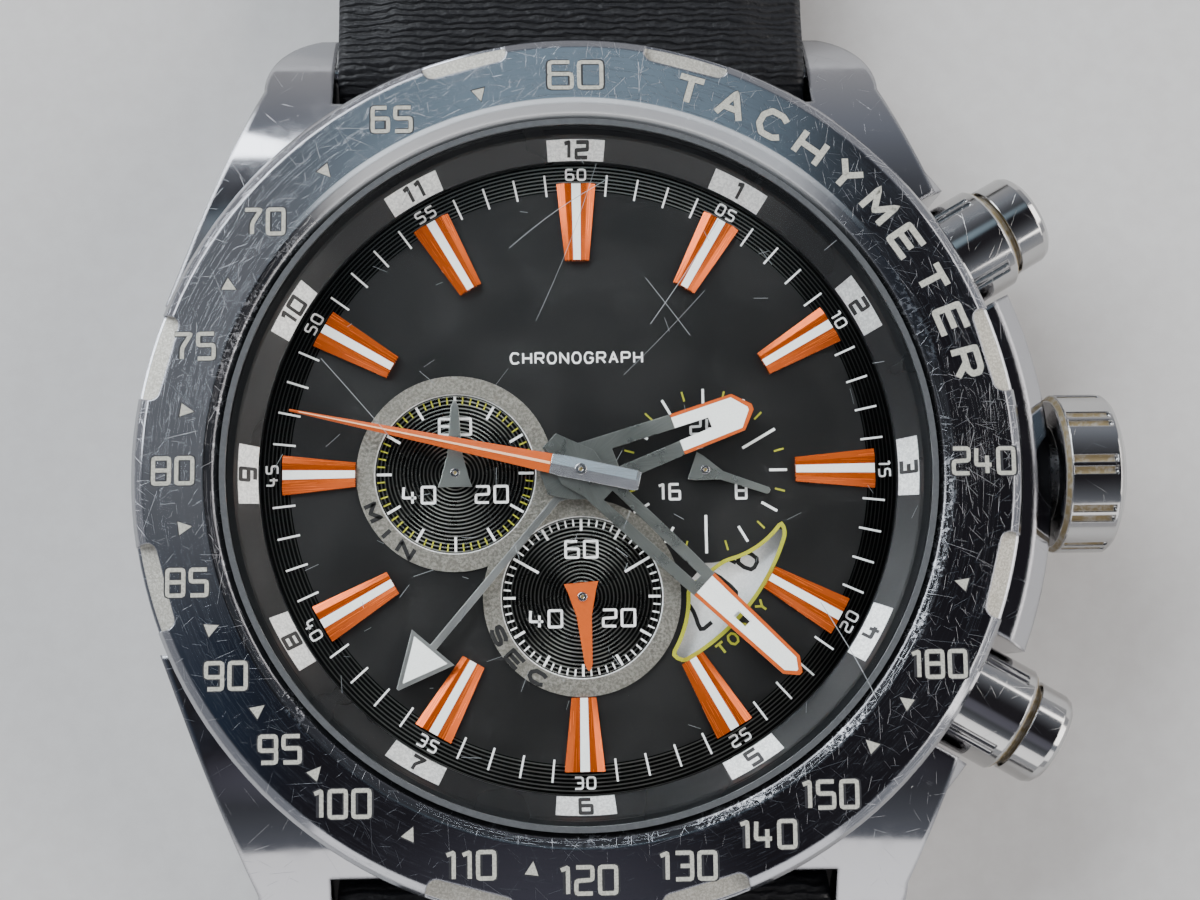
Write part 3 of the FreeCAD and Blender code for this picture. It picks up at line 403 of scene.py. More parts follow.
# ---- shapes ----
class Shape:
    """Collects faces in millimetres for one mesh."""

    def __init__(self):
        self.verts, self.faces = [], []

    def quads(self, rows, closed=False, cap=False):
        """Skin over rows of points of equal length; closed joins each row's ends."""
        count, first = len(rows[0]), len(self.verts)
        self.verts += [point for row in rows for point in row]
        ids = [range(first + count * k, first + count * (k + 1)) for k in range(len(rows))]
        for a, b in zip(ids, ids[1:]):
            for i in range(count if closed else count - 1):
                j = (i + 1) % count
                self.faces.append((a[i], a[j], b[j], b[i]))
        if cap:
            self.faces.append(tuple(reversed(ids[0])))
            self.faces.append(tuple(ids[-1]))

    def tube(self, rows, loop):
        """Skin over closed sections, joined end to end or capped."""
        rows = rows + rows[:1] if loop else rows
        self.quads(rows[::-1], closed=True, cap=not loop)

    def slab(self, outline, surface, low, high):
        """Convex thin plate over an outline of (x, y), following surface(x, y)."""
        top = [(x, y, surface(x, y) + high) for x, y in outline]
        under = [(x, y, surface(x, y) + low) for x, y in outline]
        self.quads([under, top], closed=True, cap=True)

    def band(self, centre, r0, r1, start, end, surface, low, high, steps=12):
        """Thin ring sector; clock angles in degrees."""
        rows = []
        whole = abs(end - start) >= 359.9
        for i in range(steps + (not whole)):
            ring = []
            for r, lift in ((r0, low), (r1, low), (r1, high), (r0, high)):
                x, y = clock_point(start + (end - start) * i / steps, r, centre)
                ring.append((x, y, surface(x, y) + lift))
            rows.append(ring)
        self.tube(rows, whole)

    def tick(self, centre, r0, r1, clock, width, surface, low=0.0, high=PRINT):
        corners = [(-width / 2, r0), (width / 2, r0), (width / 2, r1), (-width / 2, r1)]
        self.slab([turned_point(x, y, clock, centre) for x, y in corners], surface, low, high)

    def stroke(self, line, width, surface, low, high, loop=False):
        """Ribbon with mitred corners along a line of (x, y)."""
        count = len(line)
        left, right = [], []
        for i, p in enumerate(line):
            before = line[i - 1] if (loop or i) else None
            after = line[(i + 1) % count] if (loop or i < count - 1) else None
            d0 = unit(before, p) if before else unit(p, after)
            d1 = unit(p, after) if after else d0
            n = (-(d0[1] + d1[1]), d0[0] + d1[0])
            size = hypot(*n) or 1.0
            n = (n[0] / size, n[1] / size)
            spread = max(0.45, abs(n[0] * -d0[1] + n[1] * d0[0]))
            reach = width / 2 / spread
            left.append((p[0] + n[0] * reach, p[1] + n[1] * reach))
            right.append((p[0] - n[0] * reach, p[1] - n[1] * reach))
        rows = []
        for a, b in zip(left, right):
            za, zb = surface(*a), surface(*b)
            rows.append([(*a, za + low), (*b, zb + low), (*b, zb + high), (*a, za + high)])
        self.tube(rows, loop)

    def text(self, word, centre, height, turn, width, surface, low=0.0, high=PRINT, aspect=0.62, gap=0.34,
             style=0.10):
        """A word in single-stroke letters, centred, turned clockwise by degrees."""
        wide = [height * aspect * NARROW.get(letter, 1.0) for letter in word]
        length = sum(wide) + height * gap * (len(word) - 1)
        inset = width / 2
        for index, letter in enumerate(word):
            for line in GLYPHS[letter]:
                loop = line[0] == line[-1] and len(line) > 2
                placed = []
                for u, v in rounded(line[:-1] if loop else line, style, loop):
                    x = sum(wide[:index]) + index * height * gap - length / 2 + inset + u * (wide[index] - width)
                    y = -height / 2 + inset + v * (height - width)
                    placed.append(turned_point(x, y, turn, centre))
                self.stroke(placed, width, surface, low, high, loop)

    def arc_text(self, word, centre, r, start, end, height, width, surface, flip=False, **style):
        """A word whose letters stand along an arc from one clock angle to another."""
        for index, letter in enumerate(word):
            clock = start + (end - start) * index / (len(word) - 1)
            self.text(letter, clock_point(clock, r, centre), height, clock + (180 if flip else 0), width, surface,
                      **style)

    def mesh(self, name):
        made = bpy.data.meshes.new(name)
        made.from_pydata([(x * MM, y * MM, z * MM) for x, y, z in self.verts], [], self.faces)
        return made

    def piece(self, name, body, slot, *mats, smooth=None, replaces=()):
        """Makes the Blender object, riding on a CAD body."""
        mesh = self.mesh(name)
        work = bmesh.new()
        work.from_mesh(mesh)
        bmesh.ops.remove_doubles(work, verts=work.verts, dist=1e-8)
        bmesh.ops.recalc_face_normals(work, faces=work.faces)
        work.to_mesh(mesh)
        work.free()
        for mat in mats:
            mesh.materials.append(mat)
        if smooth is not None:
            round_off(mesh, smooth)
        made = put(name, mesh)
        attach(made, body)
        if replaces:
            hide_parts(*replaces)
        return made


def put(name, data):
    made = bpy.data.objects.new(name, data)
    bpy.context.scene.collection.objects.link(made)
    return made


def round_off(mesh, angle):
    """Smooth shading, except over edges sharper than an angle."""
    mesh.polygons.foreach_set("use_smooth", [True] * len(mesh.polygons))
    mesh.set_sharp_from_angle(angle=radians(angle))


def unit(a, b):
    dx, dy = b[0] - a[0], b[1] - a[1]
    size = hypot(dx, dy) or 1.0
    return dx / size, dy / size


def rounded(line, cut, loop):
    """Cuts each corner of a line into a short curve."""
    out = []
    count = len(line)
    for i, p in enumerate(line):
        if not loop and i in (0, count - 1):
            out.append(p)
            continue
        a, b = line[i - 1], line[(i + 1) % count]
        reach = []
        for q in (a, b):
            gap = hypot(q[0] - p[0], q[1] - p[1])
            reach.append(min(cut, 0.45 * gap) / gap)
        start = (p[0] + (a[0] - p[0]) * reach[0], p[1] + (a[1] - p[1]) * reach[0])
        end = (p[0] + (b[0] - p[0]) * reach[1], p[1] + (b[1] - p[1]) * reach[1])
        middle = ((start[0] + end[0] + 2 * p[0]) / 4, (start[1] + end[1] + 2 * p[1]) / 4)
        out += [start, middle, end]
    return out


NARROW = {"1": 0.62, "I": 0.30}
# Single-stroke letters in a unit box; a line that ends where it starts is a loop.
BOX = [(0, 0), (0, 1), (1, 1), (1, 0), (0, 0)]
BOWL = [(0, 0), (0, 1), (0.8, 1), (1, 0.87), (1, 0.6), (0.8, 0.47), (0, 0.47)]
GLYPHS = {
    "0": [BOX],
    "1": [[(0.1, 0.9), (0.9, 1), (0.9, 0)]],
    "2": [[(0, 1), (1, 1), (1, 0.52), (0, 0.48), (0, 0), (1, 0)]],
    "3": [[(0, 1), (1, 1), (1, 0), (0, 0)], [(0.3, 0.5), (1, 0.5)]],
    "4": [[(0.05, 1), (0, 0.34), (1, 0.34)], [(0.72, 0.7), (0.72, 0)]],
    "5": [[(1, 1), (0, 1), (0, 0.54), (1, 0.54), (1, 0), (0, 0)]],
    "6": [[(0.9, 1), (0, 1), (0, 0.54)], [(0, 0), (0, 0.54), (1, 0.54), (1, 0), (0, 0)]],
    "7": [[(0, 1), (1, 1), (0.45, 0.42), (0.45, 0)]],
    "8": [BOX, [(0, 0.52), (1, 0.52)]],
    "9": [[(0.1, 0), (1, 0), (1, 0.46)], [(0, 0.46), (0, 1), (1, 1), (1, 0.46), (0, 0.46)]],
    "A": [[(0, 0), (0.5, 1), (1, 0)], [(0.22, 0.36), (0.78, 0.36)]],
    "C": [[(1, 0.85), (0.75, 1), (0.25, 1), (0, 0.7), (0, 0.3), (0.25, 0), (0.75, 0), (1, 0.15)]],
    "D": [[(0, 0), (0, 1), (0.65, 1), (1, 0.7), (1, 0.3), (0.65, 0), (0, 0)]],
    "E": [[(1, 1), (0, 1), (0, 0), (1, 0)], [(0, 0.5), (0.85, 0.5)]],
    "G": [[(1, 0.82), (0.75, 1), (0.25, 1), (0, 0.7), (0, 0.3), (0.25, 0), (0.75, 0), (1, 0.22),
           (1, 0.48), (0.6, 0.48)]],
    "H": [[(0, 0), (0, 1)], [(1, 0), (1, 1)], [(0, 0.5), (1, 0.5)]],
    "I": [[(0.5, 0), (0.5, 1)]],
    "M": [[(0, 0), (0, 1), (0.5, 0.3), (1, 1), (1, 0)]],
    "N": [[(0, 0), (0, 1), (1, 0), (1, 1)]],
    "O": [[(0, 0.3), (0, 0.7), (0.25, 1), (0.75, 1), (1, 0.7), (1, 0.3), (0.75, 0), (0.25, 0), (0, 0.3)]],
    "P": [BOWL],
    "R": [BOWL, [(0.5, 0.47), (1, 0)]],
    "S": [[(1, 0.86), (0.8, 1), (0.2, 1), (0, 0.86), (0, 0.64), (0.2, 0.52), (0.8, 0.48), (1, 0.36),
           (1, 0.14), (0.8, 0), (0.2, 0), (0, 0.14)]],
    "T": [[(0, 1), (1, 1)], [(0.5, 1), (0.5, 0)]],
    "Y": [[(0, 1), (0.5, 0.5), (1, 1)], [(0.5, 0.5), (0.5, 0)]],
}


def flat(z):
    return lambda x, y: z


def bezel_surface(x, y):
    return BEZEL_TOP - 0.002 - max(0.0, hypot(x, y) - BEZEL_IN) * BEZEL_SLOPE


def flange_surface(x, y):
    return FLANGE_FOOT + (hypot(x, y) - FLANGE_IN) * FLANGE_SLOPE


def clock_point(clock, r, centre=DIAL_CENTRE):
    return turned_point(0.0, r, clock, centre)


def turned_point(x, y, clock, centre):
    a = radians(clock)
    return centre[0] + x * cos(a) + y * sin(a), centre[1] - x * sin(a) + y * cos(a)


def circle_points(centre, r, start=0.0, end=360.0, count=24):
    """Points along an arc, anticlockwise from the right."""
    turns = [radians(start + (end - start) * i / count) for i in range(count + (end - start != 360))]
    return [(centre[0] + r * cos(a), centre[1] + r * sin(a)) for a in turns]


def upright(hour):
    """Clock angle of a label, turned over in the lower half so that it stands upright."""
    return 30 * hour + (180 if 4 <= hour <= 8 else 0)


# ---- pieces that keep their CAD shape ----
def finish(mat, *names):
    """Gives CAD nodes their material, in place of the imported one."""
    for name in names:
        mesh = nodes[name].data
        mesh.materials.clear()
        mesh.materials.append(mat)
        for poly in mesh.polygons:
            poly.material_index = 0
            poly.use_smooth = True


clean_steel = steel("polished_steel_small", (0.50, 0.50, 0.51), 0.14, 0.5, 1.0, 0.35).mat
bright_steel = steel("bright_steel_pins", (0.66, 0.66, 0.67), 0.12, 0.5, 4.0, 0.05).mat
finish(steel_case(), "case_middle")
finish(steel_bezel(), "bezel")
finish(back_steel(), "case_back")
finish(crystal_glass(), "crystal")
finish(side_steel("crown_steel", 0.0), "crown")
for key, angle in (("2", 30.0), ("4", -30.0)):
    finish(side_steel("pusher_steel_" + key, angle), "pusher_collar_" + key, "pusher_button_" + key)
finish(clean_steel, "buckle_frame", "buckle_tang")
finish(bright_steel, "pusher_clip_2", "pusher_clip_4", "pusher_spring_2", "pusher_spring_4", "buckle_bar",
       "spring_bar_12", "spring_bar_6")
finish(solid("inner_steel", (0.52, 0.52, 0.54), 1.0, 0.22), "crown_stem", "crown_tube", "setting_lever",
       "bridge_screws", "battery_clamp", "quartz_can")
finish(solid("black_rubber", (0.03, 0.03, 0.032), 0.0, 0.55), "case_back_gasket", "crown_gasket", "pusher_gaskets")
finish(solid("clear_gasket", (0.10, 0.105, 0.11), 0.0, 0.32, 6.0, 0.001), "crystal_gasket")
finish(satin_black("flange_black", (0.008, 0.0085, 0.009), 0.30, 6.0, 0.003), "inner_flange")
finish(solid("movement_plastic", (0.12, 0.12, 0.12), 0.0, 0.5), "movement_ring")
finish(satin_black("dial_black", (0.0032, 0.0031, 0.0029), 0.42, 9.0, 0.0), "dial_plate")
finish(index_orange(), "hour_indexes")
finish(sparkle("counter_champagne", (0.25, 0.235, 0.20), (0.40, 0.38, 0.33), 0.34, 0.85, 7.0), "counter_frame")
finish(solid("date_white", (0.86, 0.87, 0.86), 0.0, 0.42, 8.0, 0.002), "date_disc")
finish(solid("gilt_brass", (0.78, 0.60, 0.26), 1.0, 0.22, 4.0, 0.004), "chrono_arbor", "minute_pipe", "hour_pipe",
       "zone_pipe", "minute_counter_arbor", "small_seconds_arbor", "day_hours_arbor")
finish(solid("nickel_brass", (0.56, 0.50, 0.36), 1.0, 0.3), "main_plate", "train_bridge")
finish(circuit_green(), "circuit_board")
finish(wound_copper(), "time_coil", "chrono_coil")
finish(solid("rotor_magnet", (0.35, 0.35, 0.37), 0.9, 0.3), "time_rotor", "chrono_rotor")
finish(solid("battery_steel", (0.62, 0.62, 0.60), 1.0, 0.24, 1.5), "battery")

# ---- bezel scale ----
NUMERAL_R, NUMERAL_H, MARK_R = 20.3, 1.46, 19.85
TACHY = (60, 65, 70, 75, 80, 85, 90, 95, 100, 110, 120, 130, 140, 150, 180, 240)
MARKS = (62.5, 67.5, 72.5, 77.5, 82.5, 87.5, 92.5, 97.5, 105, 115, 160, 170, 200)
SUNK = -0.01


def tachy_clock(speed):
    return 21600 / speed % 360


# The filling, and a shadow round it that is wider and lower.
fill, edge = Shape(), Shape()
for shape, wider, high in ((fill, 0, PRINT), (edge, 1, 0.006)):
    for speed in TACHY:
        tall, aspect = (1.08, 0.86) if speed == 60 else (1.0, 0.68)
        shape.text(str(speed), clock_point(tachy_clock(speed), NUMERAL_R), NUMERAL_H * tall + 0.10 * wider, 0,
                   0.20 + 0.10 * wider, bezel_surface, SUNK, high, aspect, 0.11, 0.12)
    shape.arc_text("TACHYMETER", DIAL_CENTRE, NUMERAL_R, 16.8, 75.6, 1.62 + 0.06 * wider, 0.32 + 0.06 * wider,
                   bezel_surface, low=SUNK, high=high, aspect=0.98, style=0.05)
    for speed in MARKS:
        clock, size = tachy_clock(speed), 0.33 + 0.07 * wider
        base = [clock_point(clock + side * degrees(size / 20), MARK_R + size) for side in (1, -1)]
        shape.slab([clock_point(clock, MARK_R - size)] + base, bezel_surface, SUNK, high)
fill.piece("bezel_numerals", "case", "steel_bezel", ink("engraving_cream", (0.66, 0.65, 0.56), 0.55, 0.16))
edge.piece("bezel_numeral_edges", "case", "steel_bezel", ink("engraving_shadow", (0.035, 0.035, 0.04), 0.4, 0.1))

# ---- flange blocks ----
black_ink = ink("black_print", (0.012, 0.012, 0.012), 0.42, 0.05)
blocks, hours = Shape(), Shape()
for hour in range(1, 13):
    clock = 30.0 * hour
    blocks.band(DIAL_CENTRE, 16.42, 17.30, clock - 5.05, clock + 5.05, flange_surface, -0.02, 0.035, 14)
    hours.text(str(hour), clock_point(clock, 16.86), 0.80, upright(hour), 0.17, flange_surface, 0.03, 0.05,
               0.95, 0.22, 0.04)
blocks.piece("flange_blocks", "case", "flange_black",
             sparkle("flange_silver", (0.62, 0.63, 0.62), (0.86, 0.87, 0.85), 0.34, 0.55, 6.5))
hours.piece("flange_numerals", "case", "flange_black", black_ink)

# ---- dial: lathe-cut minute track and counter floors ----
GROOVE = 0.20                   # from one turned groove to the next
FLOOR_CUT = FLOOR_TOP + 0.045     # crests of the counters' grooves


def grooved_ring(name, centre, r0, r1, top, depth, segments, dark, light, rough):
    """Flat ring cut with fine concentric grooves of rounded section."""
    steps = 6 * round((r1 - r0) / GROOVE)
    profile = [(r0 + (r1 - r0) * i / steps, top - depth * (0.5 + 0.5 * cos(pi * i / 3))) for i in range(steps + 1)]
    shape, rows = Shape(), []
    for i in range(segments + 1):
        a = tau * i / segments
        rows.append([(centre[0] + r * cos(a), centre[1] + r * sin(a), z) for r, z in profile])
    shape.quads(rows)
    # The lacquer paints the light colour on the groove crests as a highlight.
    shape.piece(name, "case", "dial_black", turned(name + "_lacquer", dark, light, rough, centre, r0, GROOVE),
                smooth=75)


# In both calls below the colours are the dark lacquer, then the painted highlight on the rings.
grooved_ring("minute_track", DIAL_CENTRE, 14.86, 16.36, DIAL_TOP + 0.012, 0.006, 240, (0.006, 0.006, 0.006),
             (0.16, 0.16, 0.15), 0.34)
for name, centre in (("minute_counter_floor", LEFT), ("small_seconds_floor", LOW)):
    grooved_ring(name, centre, 0.32, 4.12, FLOOR_CUT, 0.012, 120, (0.012, 0.012, 0.011), (0.62, 0.60, 0.54), 0.26)

# ---- dial: printing ----
dial, counter_floor = flat(DIAL_TOP), flat(FLOOR_CUT)
white, lime = Shape(), Shape()
for minute in range(60):
    if minute % 5:
        white.tick(DIAL_CENTRE, 14.65, 15.80, 6 * minute, 0.10, dial, 0.0, 0.028)
for step in range(12):
    white.text(f"{step * 5 or 60:02d}", clock_point(30 * step, 15.76), 0.66, upright(step), 0.095,
               flat(DIAL_TOP + 0.014), aspect=0.74, gap=0.20, style=0.26)
white.text("CHRONOGRAPH", (-0.10, 5.98), 0.64, 0, 0.10, dial, aspect=0.80, gap=0.20, style=0.08)
# 24-hour counter at 3.
for hour in range(24):
    if hour % 2:
        lime.tick(RIGHT, 3.75, 4.27, 15 * hour, 0.09, dial)
    else:
        inner, width = (2.30, 0.14) if hour in (4, 12) else (3.35, 0.13)
        white.tick(RIGHT, inner, 4.27, 15 * hour, width, dial)
for label, clock, r in (("24", 0, 2.3), ("16", 240, 2.15), ("8", 120, 2.15)):
    white.text(label, clock_point(clock, r, RIGHT), 0.90, 0, 0.13, dial, aspect=0.72, gap=0.20, style=0.08)
# Minute counter at 9 and small seconds at 6.
for step in range(60):
    clock, main = 6 * step, step % 5 == 0
    if main:
        white.tick(LEFT, 3.25, 4.02, clock, 0.13, counter_floor)
    else:
        lime.tick(LEFT, 3.62, 4.02, clock, 0.075, counter_floor)
    inner = 2.55 if step in (10, 50) else 3.40 if main else 3.66
    white.tick(LOW, inner, 4.02, clock, 0.13 if main else 0.085, counter_floor)
for centre in (LEFT, LOW):
    for label, clock, r in (("60", 0, 2.45), ("20", 120, 2.15), ("40", 240, 2.15)):
        white.text(label, clock_point(clock, r, centre), 0.96, 0, 0.13, counter_floor, 0.0, 0.014, 0.82, 0.18, 0.08)
    white.band(centre, 4.10, 4.19, 0, 360, counter_floor, 0.0, 0.06, 96)
white.piece("dial_white_print", "case", "dial_black", ink("white_print", (0.88, 0.88, 0.86), 0.45, 0.05))

rim_text, rim = Shape(), flat(DIAL_TOP + 0.14)
rim_text.arc_text("MIN", LEFT, 4.66, 245, 213, 0.76, 0.21, rim, flip=True, aspect=1.30, style=0.02)
rim_text.arc_text("SEC", LOW, 4.66, 246, 210, 0.76, 0.21, rim, flip=True, aspect=1.35, style=0.02)
rim_text.piece("counter_frame_text", "case", "counter_grey", black_ink)


# ---- date window ----
def window_outline():
    """Crescent between two arcs about the dial's centre and the frames of two counters."""
    low_r, right_r, inner_r = 5.45, 4.75, 7.9
    outer = circle_points(DIAL_CENTRE, 11.0, -17.2, -62.4, 20)
    low_side = circle_points(LOW, low_r, -40.0, 23.0, 10)
    inner = circle_points(DIAL_CENTRE, inner_r, -33.5, -27.0, 3)
    right_side = circle_points(RIGHT, right_r, -79.0, -3.0, 12)
    low_side, right_side = ([p for p in side if inner_r + 0.05 < hypot(*p) < 10.75] for side in (low_side, right_side))
    inner = [(x, y) for x, y in inner if hypot(x - SUB, y) > right_r and hypot(x, y + SUB) > low_r]
    return outer + low_side + inner + right_side


lime.stroke(rounded(window_outline(), 0.35, True), 0.20, dial, 0.0, 0.03, loop=True)
lime.arc_text("TODAY", DIAL_CENTRE, 11.56, 142.2, 127.4, 0.66, 0.115, dial, flip=True, aspect=0.86, style=0.05)
lime.piece("dial_lime_print", "case", "dial_black", ink("lime_print", (0.36, 0.36, 0.015), 0.45, 0.06))

dates = Shape()
for day in range(1, 32):
    clock = 130.0 - (day - 8) * 360 / 31
    dates.text(str(day), clock_point(clock, 9.35), 1.95, clock, 0.21, flat(DISC_TOP), aspect=0.50, gap=0.10,
               style=0.30)
dates.piece("date_numerals", "date_work", "date_white", black_ink)

# ---- index stripes ----
lume = ink("lume_white", (0.86, 0.88, 0.85), 0.55, 0.03)
stripes = Shape()
for hour in range(12):
    inner = 11.51 if hour in (6, 9) else 11.11
    outline = [turned_point(x, y, 30 * hour, DIAL_CENTRE)
               for x, y in ((-0.19, inner), (0.19, inner), (0.24, 15.19), (-0.24, 15.19))]
    stripes.slab(outline, flat(DIAL_TOP + 0.34), -0.02, 0.035)
stripes.piece("index_stripes", "case", "index_orange", lume)


# ---- hands ----
def mirrored(half):
    """Closed outline from its right half, from the tail to the tip."""
    return half + [(-x, y) for x, y in reversed(half) if x > 0]


def cut_plate(name, arm, slot, mat, low, high, loops, replaces=()):
    """Flat plate whose first loop is its outline and the others its openings."""
    clock, centre, body = arm
    work = bmesh.new()
    edges = []
    for loop in loops:
        verts = [work.verts.new((*turned_point(x, y, clock, centre), low)) for x, y in loop]
        edges += [work.edges.new((a, b)) for a, b in zip(verts, verts[1:] + verts[:1])]
    bmesh.ops.triangle_fill(work, use_beauty=True, edges=edges)
    grown = bmesh.ops.extrude_face_region(work, geom=work.faces[:])
    bmesh.ops.translate(work, vec=(0, 0, high - low),
                        verts=[v for v in grown["geom"] if isinstance(v, bmesh.types.BMVert)])
    bmesh.ops.recalc_face_normals(work, faces=work.faces)
    shape = Shape()
    shape.verts = [tuple(v.co) for v in work.verts]
    work.verts.index_update()
    shape.faces = [tuple(v.index for v in f.verts) for f in work.faces]
    work.free()
    shape.piece(name, body, slot, mat, replaces=replaces)


def roof(name, arm, slot, mat, edge_h, ridge_h, stations, replaces=()):
    """Two-facet hand part from stations of (half width, y)."""
    clock, centre, body = arm
    shape, rows = Shape(), []
    for half, y in stations:
        section = ((-half, 0), (half, 0), (half, edge_h), (0.0, ridge_h), (-half, edge_h))
        rows.append([(*turned_point(x, y, clock, centre), CHRONO_Z + z) for x, z in section])
    shape.quads(rows, closed=True, cap=True)
    shape.piece(name, body, slot, mat, replaces=replaces)


def rivet(name, r_in, r_out, low, high, centre, body):
    shape = Shape()
    shape.band(centre, r_in, r_out, 0, 360, flat(0), low, high, 32)
    made = shape.piece(name, body, "brass_train", bright_steel, smooth=40)
    soft = made.modifiers.new("soft edges", "BEVEL")
    soft.width, soft.segments = 0.02 * MM, 2


def bore(r):
    return circle_points(DIAL_CENTRE, r, count=20)


smoke = hand_grey("smoked_grey_hand", (0.20, 0.21, 0.195), 0.26)
zone_grey = hand_grey("silver_grey_hand", (0.26, 0.265, 0.255), 0.28)
chrome = hand_grey("chrome_hand", (0.62, 0.64, 0.65), 0.08)
orange = ink("hand_orange", (0.46, 0.072, 0.0008), 0.38, 0.03, 0.002)
# Each hand's clock angle, centre and body, then half outlines from tail to tip.
HOUR = (70.3, DIAL_CENTRE, "hour_work")
MINUTE = (133.8, DIAL_CENTRE, "minute_work")
ZONE = (220.5, DIAL_CENTRE, "second_zone_work")
CHRONO = (282.3, DIAL_CENTRE, "chrono_work")
CHRONO_Z = 9.77
HOUR_HALF = [(0.6, -2.0), (1.25, -0.95), (1.5, -0.2), (1.35, 0.5), (1.1, 5.3), (1.0, 8.65), (0.15, 9.45)]
MINUTE_HALF = [(0.5, -2.2), (1.2, -0.2), (0.9, 1.0), (0.85, 6.0), (0.77, 8.55), (0.62, 14.5), (0.1, 15.15)]
ZONE_HALF = [(0.5, -1.7), (1.3, -0.5), (1.1, 0.6), (0.19, 1.9), (0.19, 11.65), (1.4, 11.65), (0.06, 14.4)]
SMALL_HALF = [(0.88, -0.72), (0.72, -0.3), (0.38, 1.0), (0.2, 3.4), (0.06, 3.75)]
DAY_HALF = [(0.75, -0.7), (0.66, -0.3), (0.22, 0.9), (0.17, 3.4), (0.08, 3.5)]
MINUTE_SLIT = mirrored([(0.18, 10.7), (0.18, 11.5)])


def hour_tip(right_side):
    """Outer end of the hour hand round the pointed end of its opening."""
    left_side = [(-x, y) for x, y in reversed(right_side)]
    return right_side + left_side + [(-0.35, 5.3), (-0.27, 7.1), (0.27, 7.1), (0.35, 5.3)]


cut_plate("hour_hand_frame", HOUR, "hand_grey", smoke, 9.31, 9.42,
          [mirrored(HOUR_HALF), mirrored([(0.5, 1.9), (0.27, 7.1)]), bore(0.65)], ("hour_hand",))
cut_plate("hour_hand_rim", HOUR, "hand_orange", orange, 9.41, 9.445,
          [hour_tip([(1.10, 5.3), (1.0, 8.65), (0.15, 9.45)])])
cut_plate("hour_hand_lume", HOUR, "hand_grey", lume, 9.43, 9.465,
          [hour_tip([(0.92, 5.3), (0.84, 8.56), (0.08, 9.2)])])
cut_plate("minute_hand_frame", MINUTE, "hand_grey", smoke, 9.54, 9.65,
          [mirrored(MINUTE_HALF), mirrored([(0.34, 1.9), (0.2, 8.1)]), MINUTE_SLIT, bore(0.40)], ("minute_hand",))
cut_plate("minute_hand_rim", MINUTE, "hand_orange", orange, 9.64, 9.675,
          [mirrored([(0.77, 8.55), (0.62, 14.5), (0.1, 15.15)]), MINUTE_SLIT])
cut_plate("minute_hand_lume", MINUTE, "hand_grey", lume, 9.66, 9.695,
          [mirrored([(0.58, 8.55), (0.44, 14.42), (0.05, 14.9)]), MINUTE_SLIT])
cut_plate("zone_hand_frame", ZONE, "hand_grey", zone_grey, 9.08, 9.20, [mirrored(ZONE_HALF), bore(0.90)],
          ("second_zone_hand",))
cut_plate("zone_hand_lume", ZONE, "hand_grey", lume, 9.19, 9.225, [mirrored([(1.08, 11.83), (0.02, 13.98)])])
roof("chrono_hand_pointer", CHRONO, "hand_orange", orange, 0.05, 0.14,
     [(0.50, 1.55), (0.36, 5.5), (0.20, 10.5), (0.06, 15.1)], ("chrono_seconds_hand",))
roof("chrono_hand_weight", CHRONO, "steel_polished", chrome, 0.08, 0.17,
     [(0.44, -3.05), (0.52, -2.85), (0.55, 0.9), (0.50, 1.56)])
ridge = Shape()
ridge.slab([turned_point(x, y, *CHRONO[:2]) for x, y in ((-0.07, 1.6), (0.07, 1.6), (0.02, 14.6), (-0.02, 14.6))],
           flat(CHRONO_Z), 0.125, 0.145)
ridge.piece("chrono_hand_line", "chrono_work", "hand_orange", ink("pale_orange", (0.85, 0.50, 0.30), 0.4, 0.03))
for name, half, arm, slot, mat in (
        ("minute_counter_hand", SMALL_HALF, (0.0, LEFT, "minute_counter_work"), "hand_grey", smoke),
        ("small_seconds_hand", SMALL_HALF, (175.5, LOW, "small_seconds_work"), "hand_orange", orange),
        ("day_hours_hand", DAY_HALF, (109.0, RIGHT, "day_hours_work"), "hand_grey", smoke)):
    cut_plate(name + "_plate", arm, slot, mat, 8.85, 8.97, [mirrored(half), bore(0.20)], (name,))
    rivet(name + "_rivet", 0.09, 0.24, 8.95, 9.03, *arm[1:])
rivet("centre_rivet", 0.10, 0.30, 9.88, 10.0, DIAL_CENTRE, "chrono_work")

# ---- crystal wear ----
random.seed(4071)
wear, crystal_top = Shape(), flat(CRYSTAL_TOP)
LONG_SCRATCHES = ((1.0, 15.6, -2.2, 7.4), (7.2, 12.6, 3.6, 7.2), (3.4, 9.6, 5.6, 6.6), (-9.5, 1.5, -13.0, 5.6),
                  (11.8, -7.0, 14.6, -12.2), (-3.5, 11.2, 1.6, 14.8), (2.2, 4.6, 6.4, 8.9))
for x0, y0, x1, y1 in LONG_SCRATCHES:
    bend = random.uniform(-0.3, 0.3)
    line = []
    for i in range(9):
        t = i / 8
        lift = bend * sin(pi * t)
        line.append((x0 + (x1 - x0) * t + lift, y0 + (y1 - y0) * t - lift))
    wear.stroke(line, random.uniform(0.018, 0.04), crystal_top, 0.0, 0.004)
for _ in range(60):
    r, a, turn = 16.8 * sqrt(random.random()), random.uniform(0, tau), random.uniform(0, pi)
    size = random.uniform(0.15, 1.1)
    x, y = r * cos(a), r * sin(a)
    wear.stroke([(x, y), (x + size * cos(turn), y + size * sin(turn))], random.uniform(0.012, 0.024), crystal_top,
                0.0, 0.003)
look = Look("crystal_scratch", (0.62, 0.66, 0.68), Alpha=0.42)
wear.piece("crystal_scratches", "case", "crystal_glass", look.uneven(look.noise(3.0), 0.5, 0.7).mat)


# ---- strap ----
def ease(value, low, high, start, end):
    t = min(1.0, max(0.0, (value - low) / (high - low)))
    return start + (end - start) * t * t * (3 - 2 * t)


EYE_R, FOLD_R = 2.25, 1.5       # folds round the spring bar and the buckle's bar
ROUND_END = 12.0                # length of the stretch where rows lie closer


def fold(middle, r, along):
    """Lower and upper height of a round fold at a distance from its axis."""
    reach = sqrt(max(0.0, r * r - along * along))
    return middle - reach, middle + reach


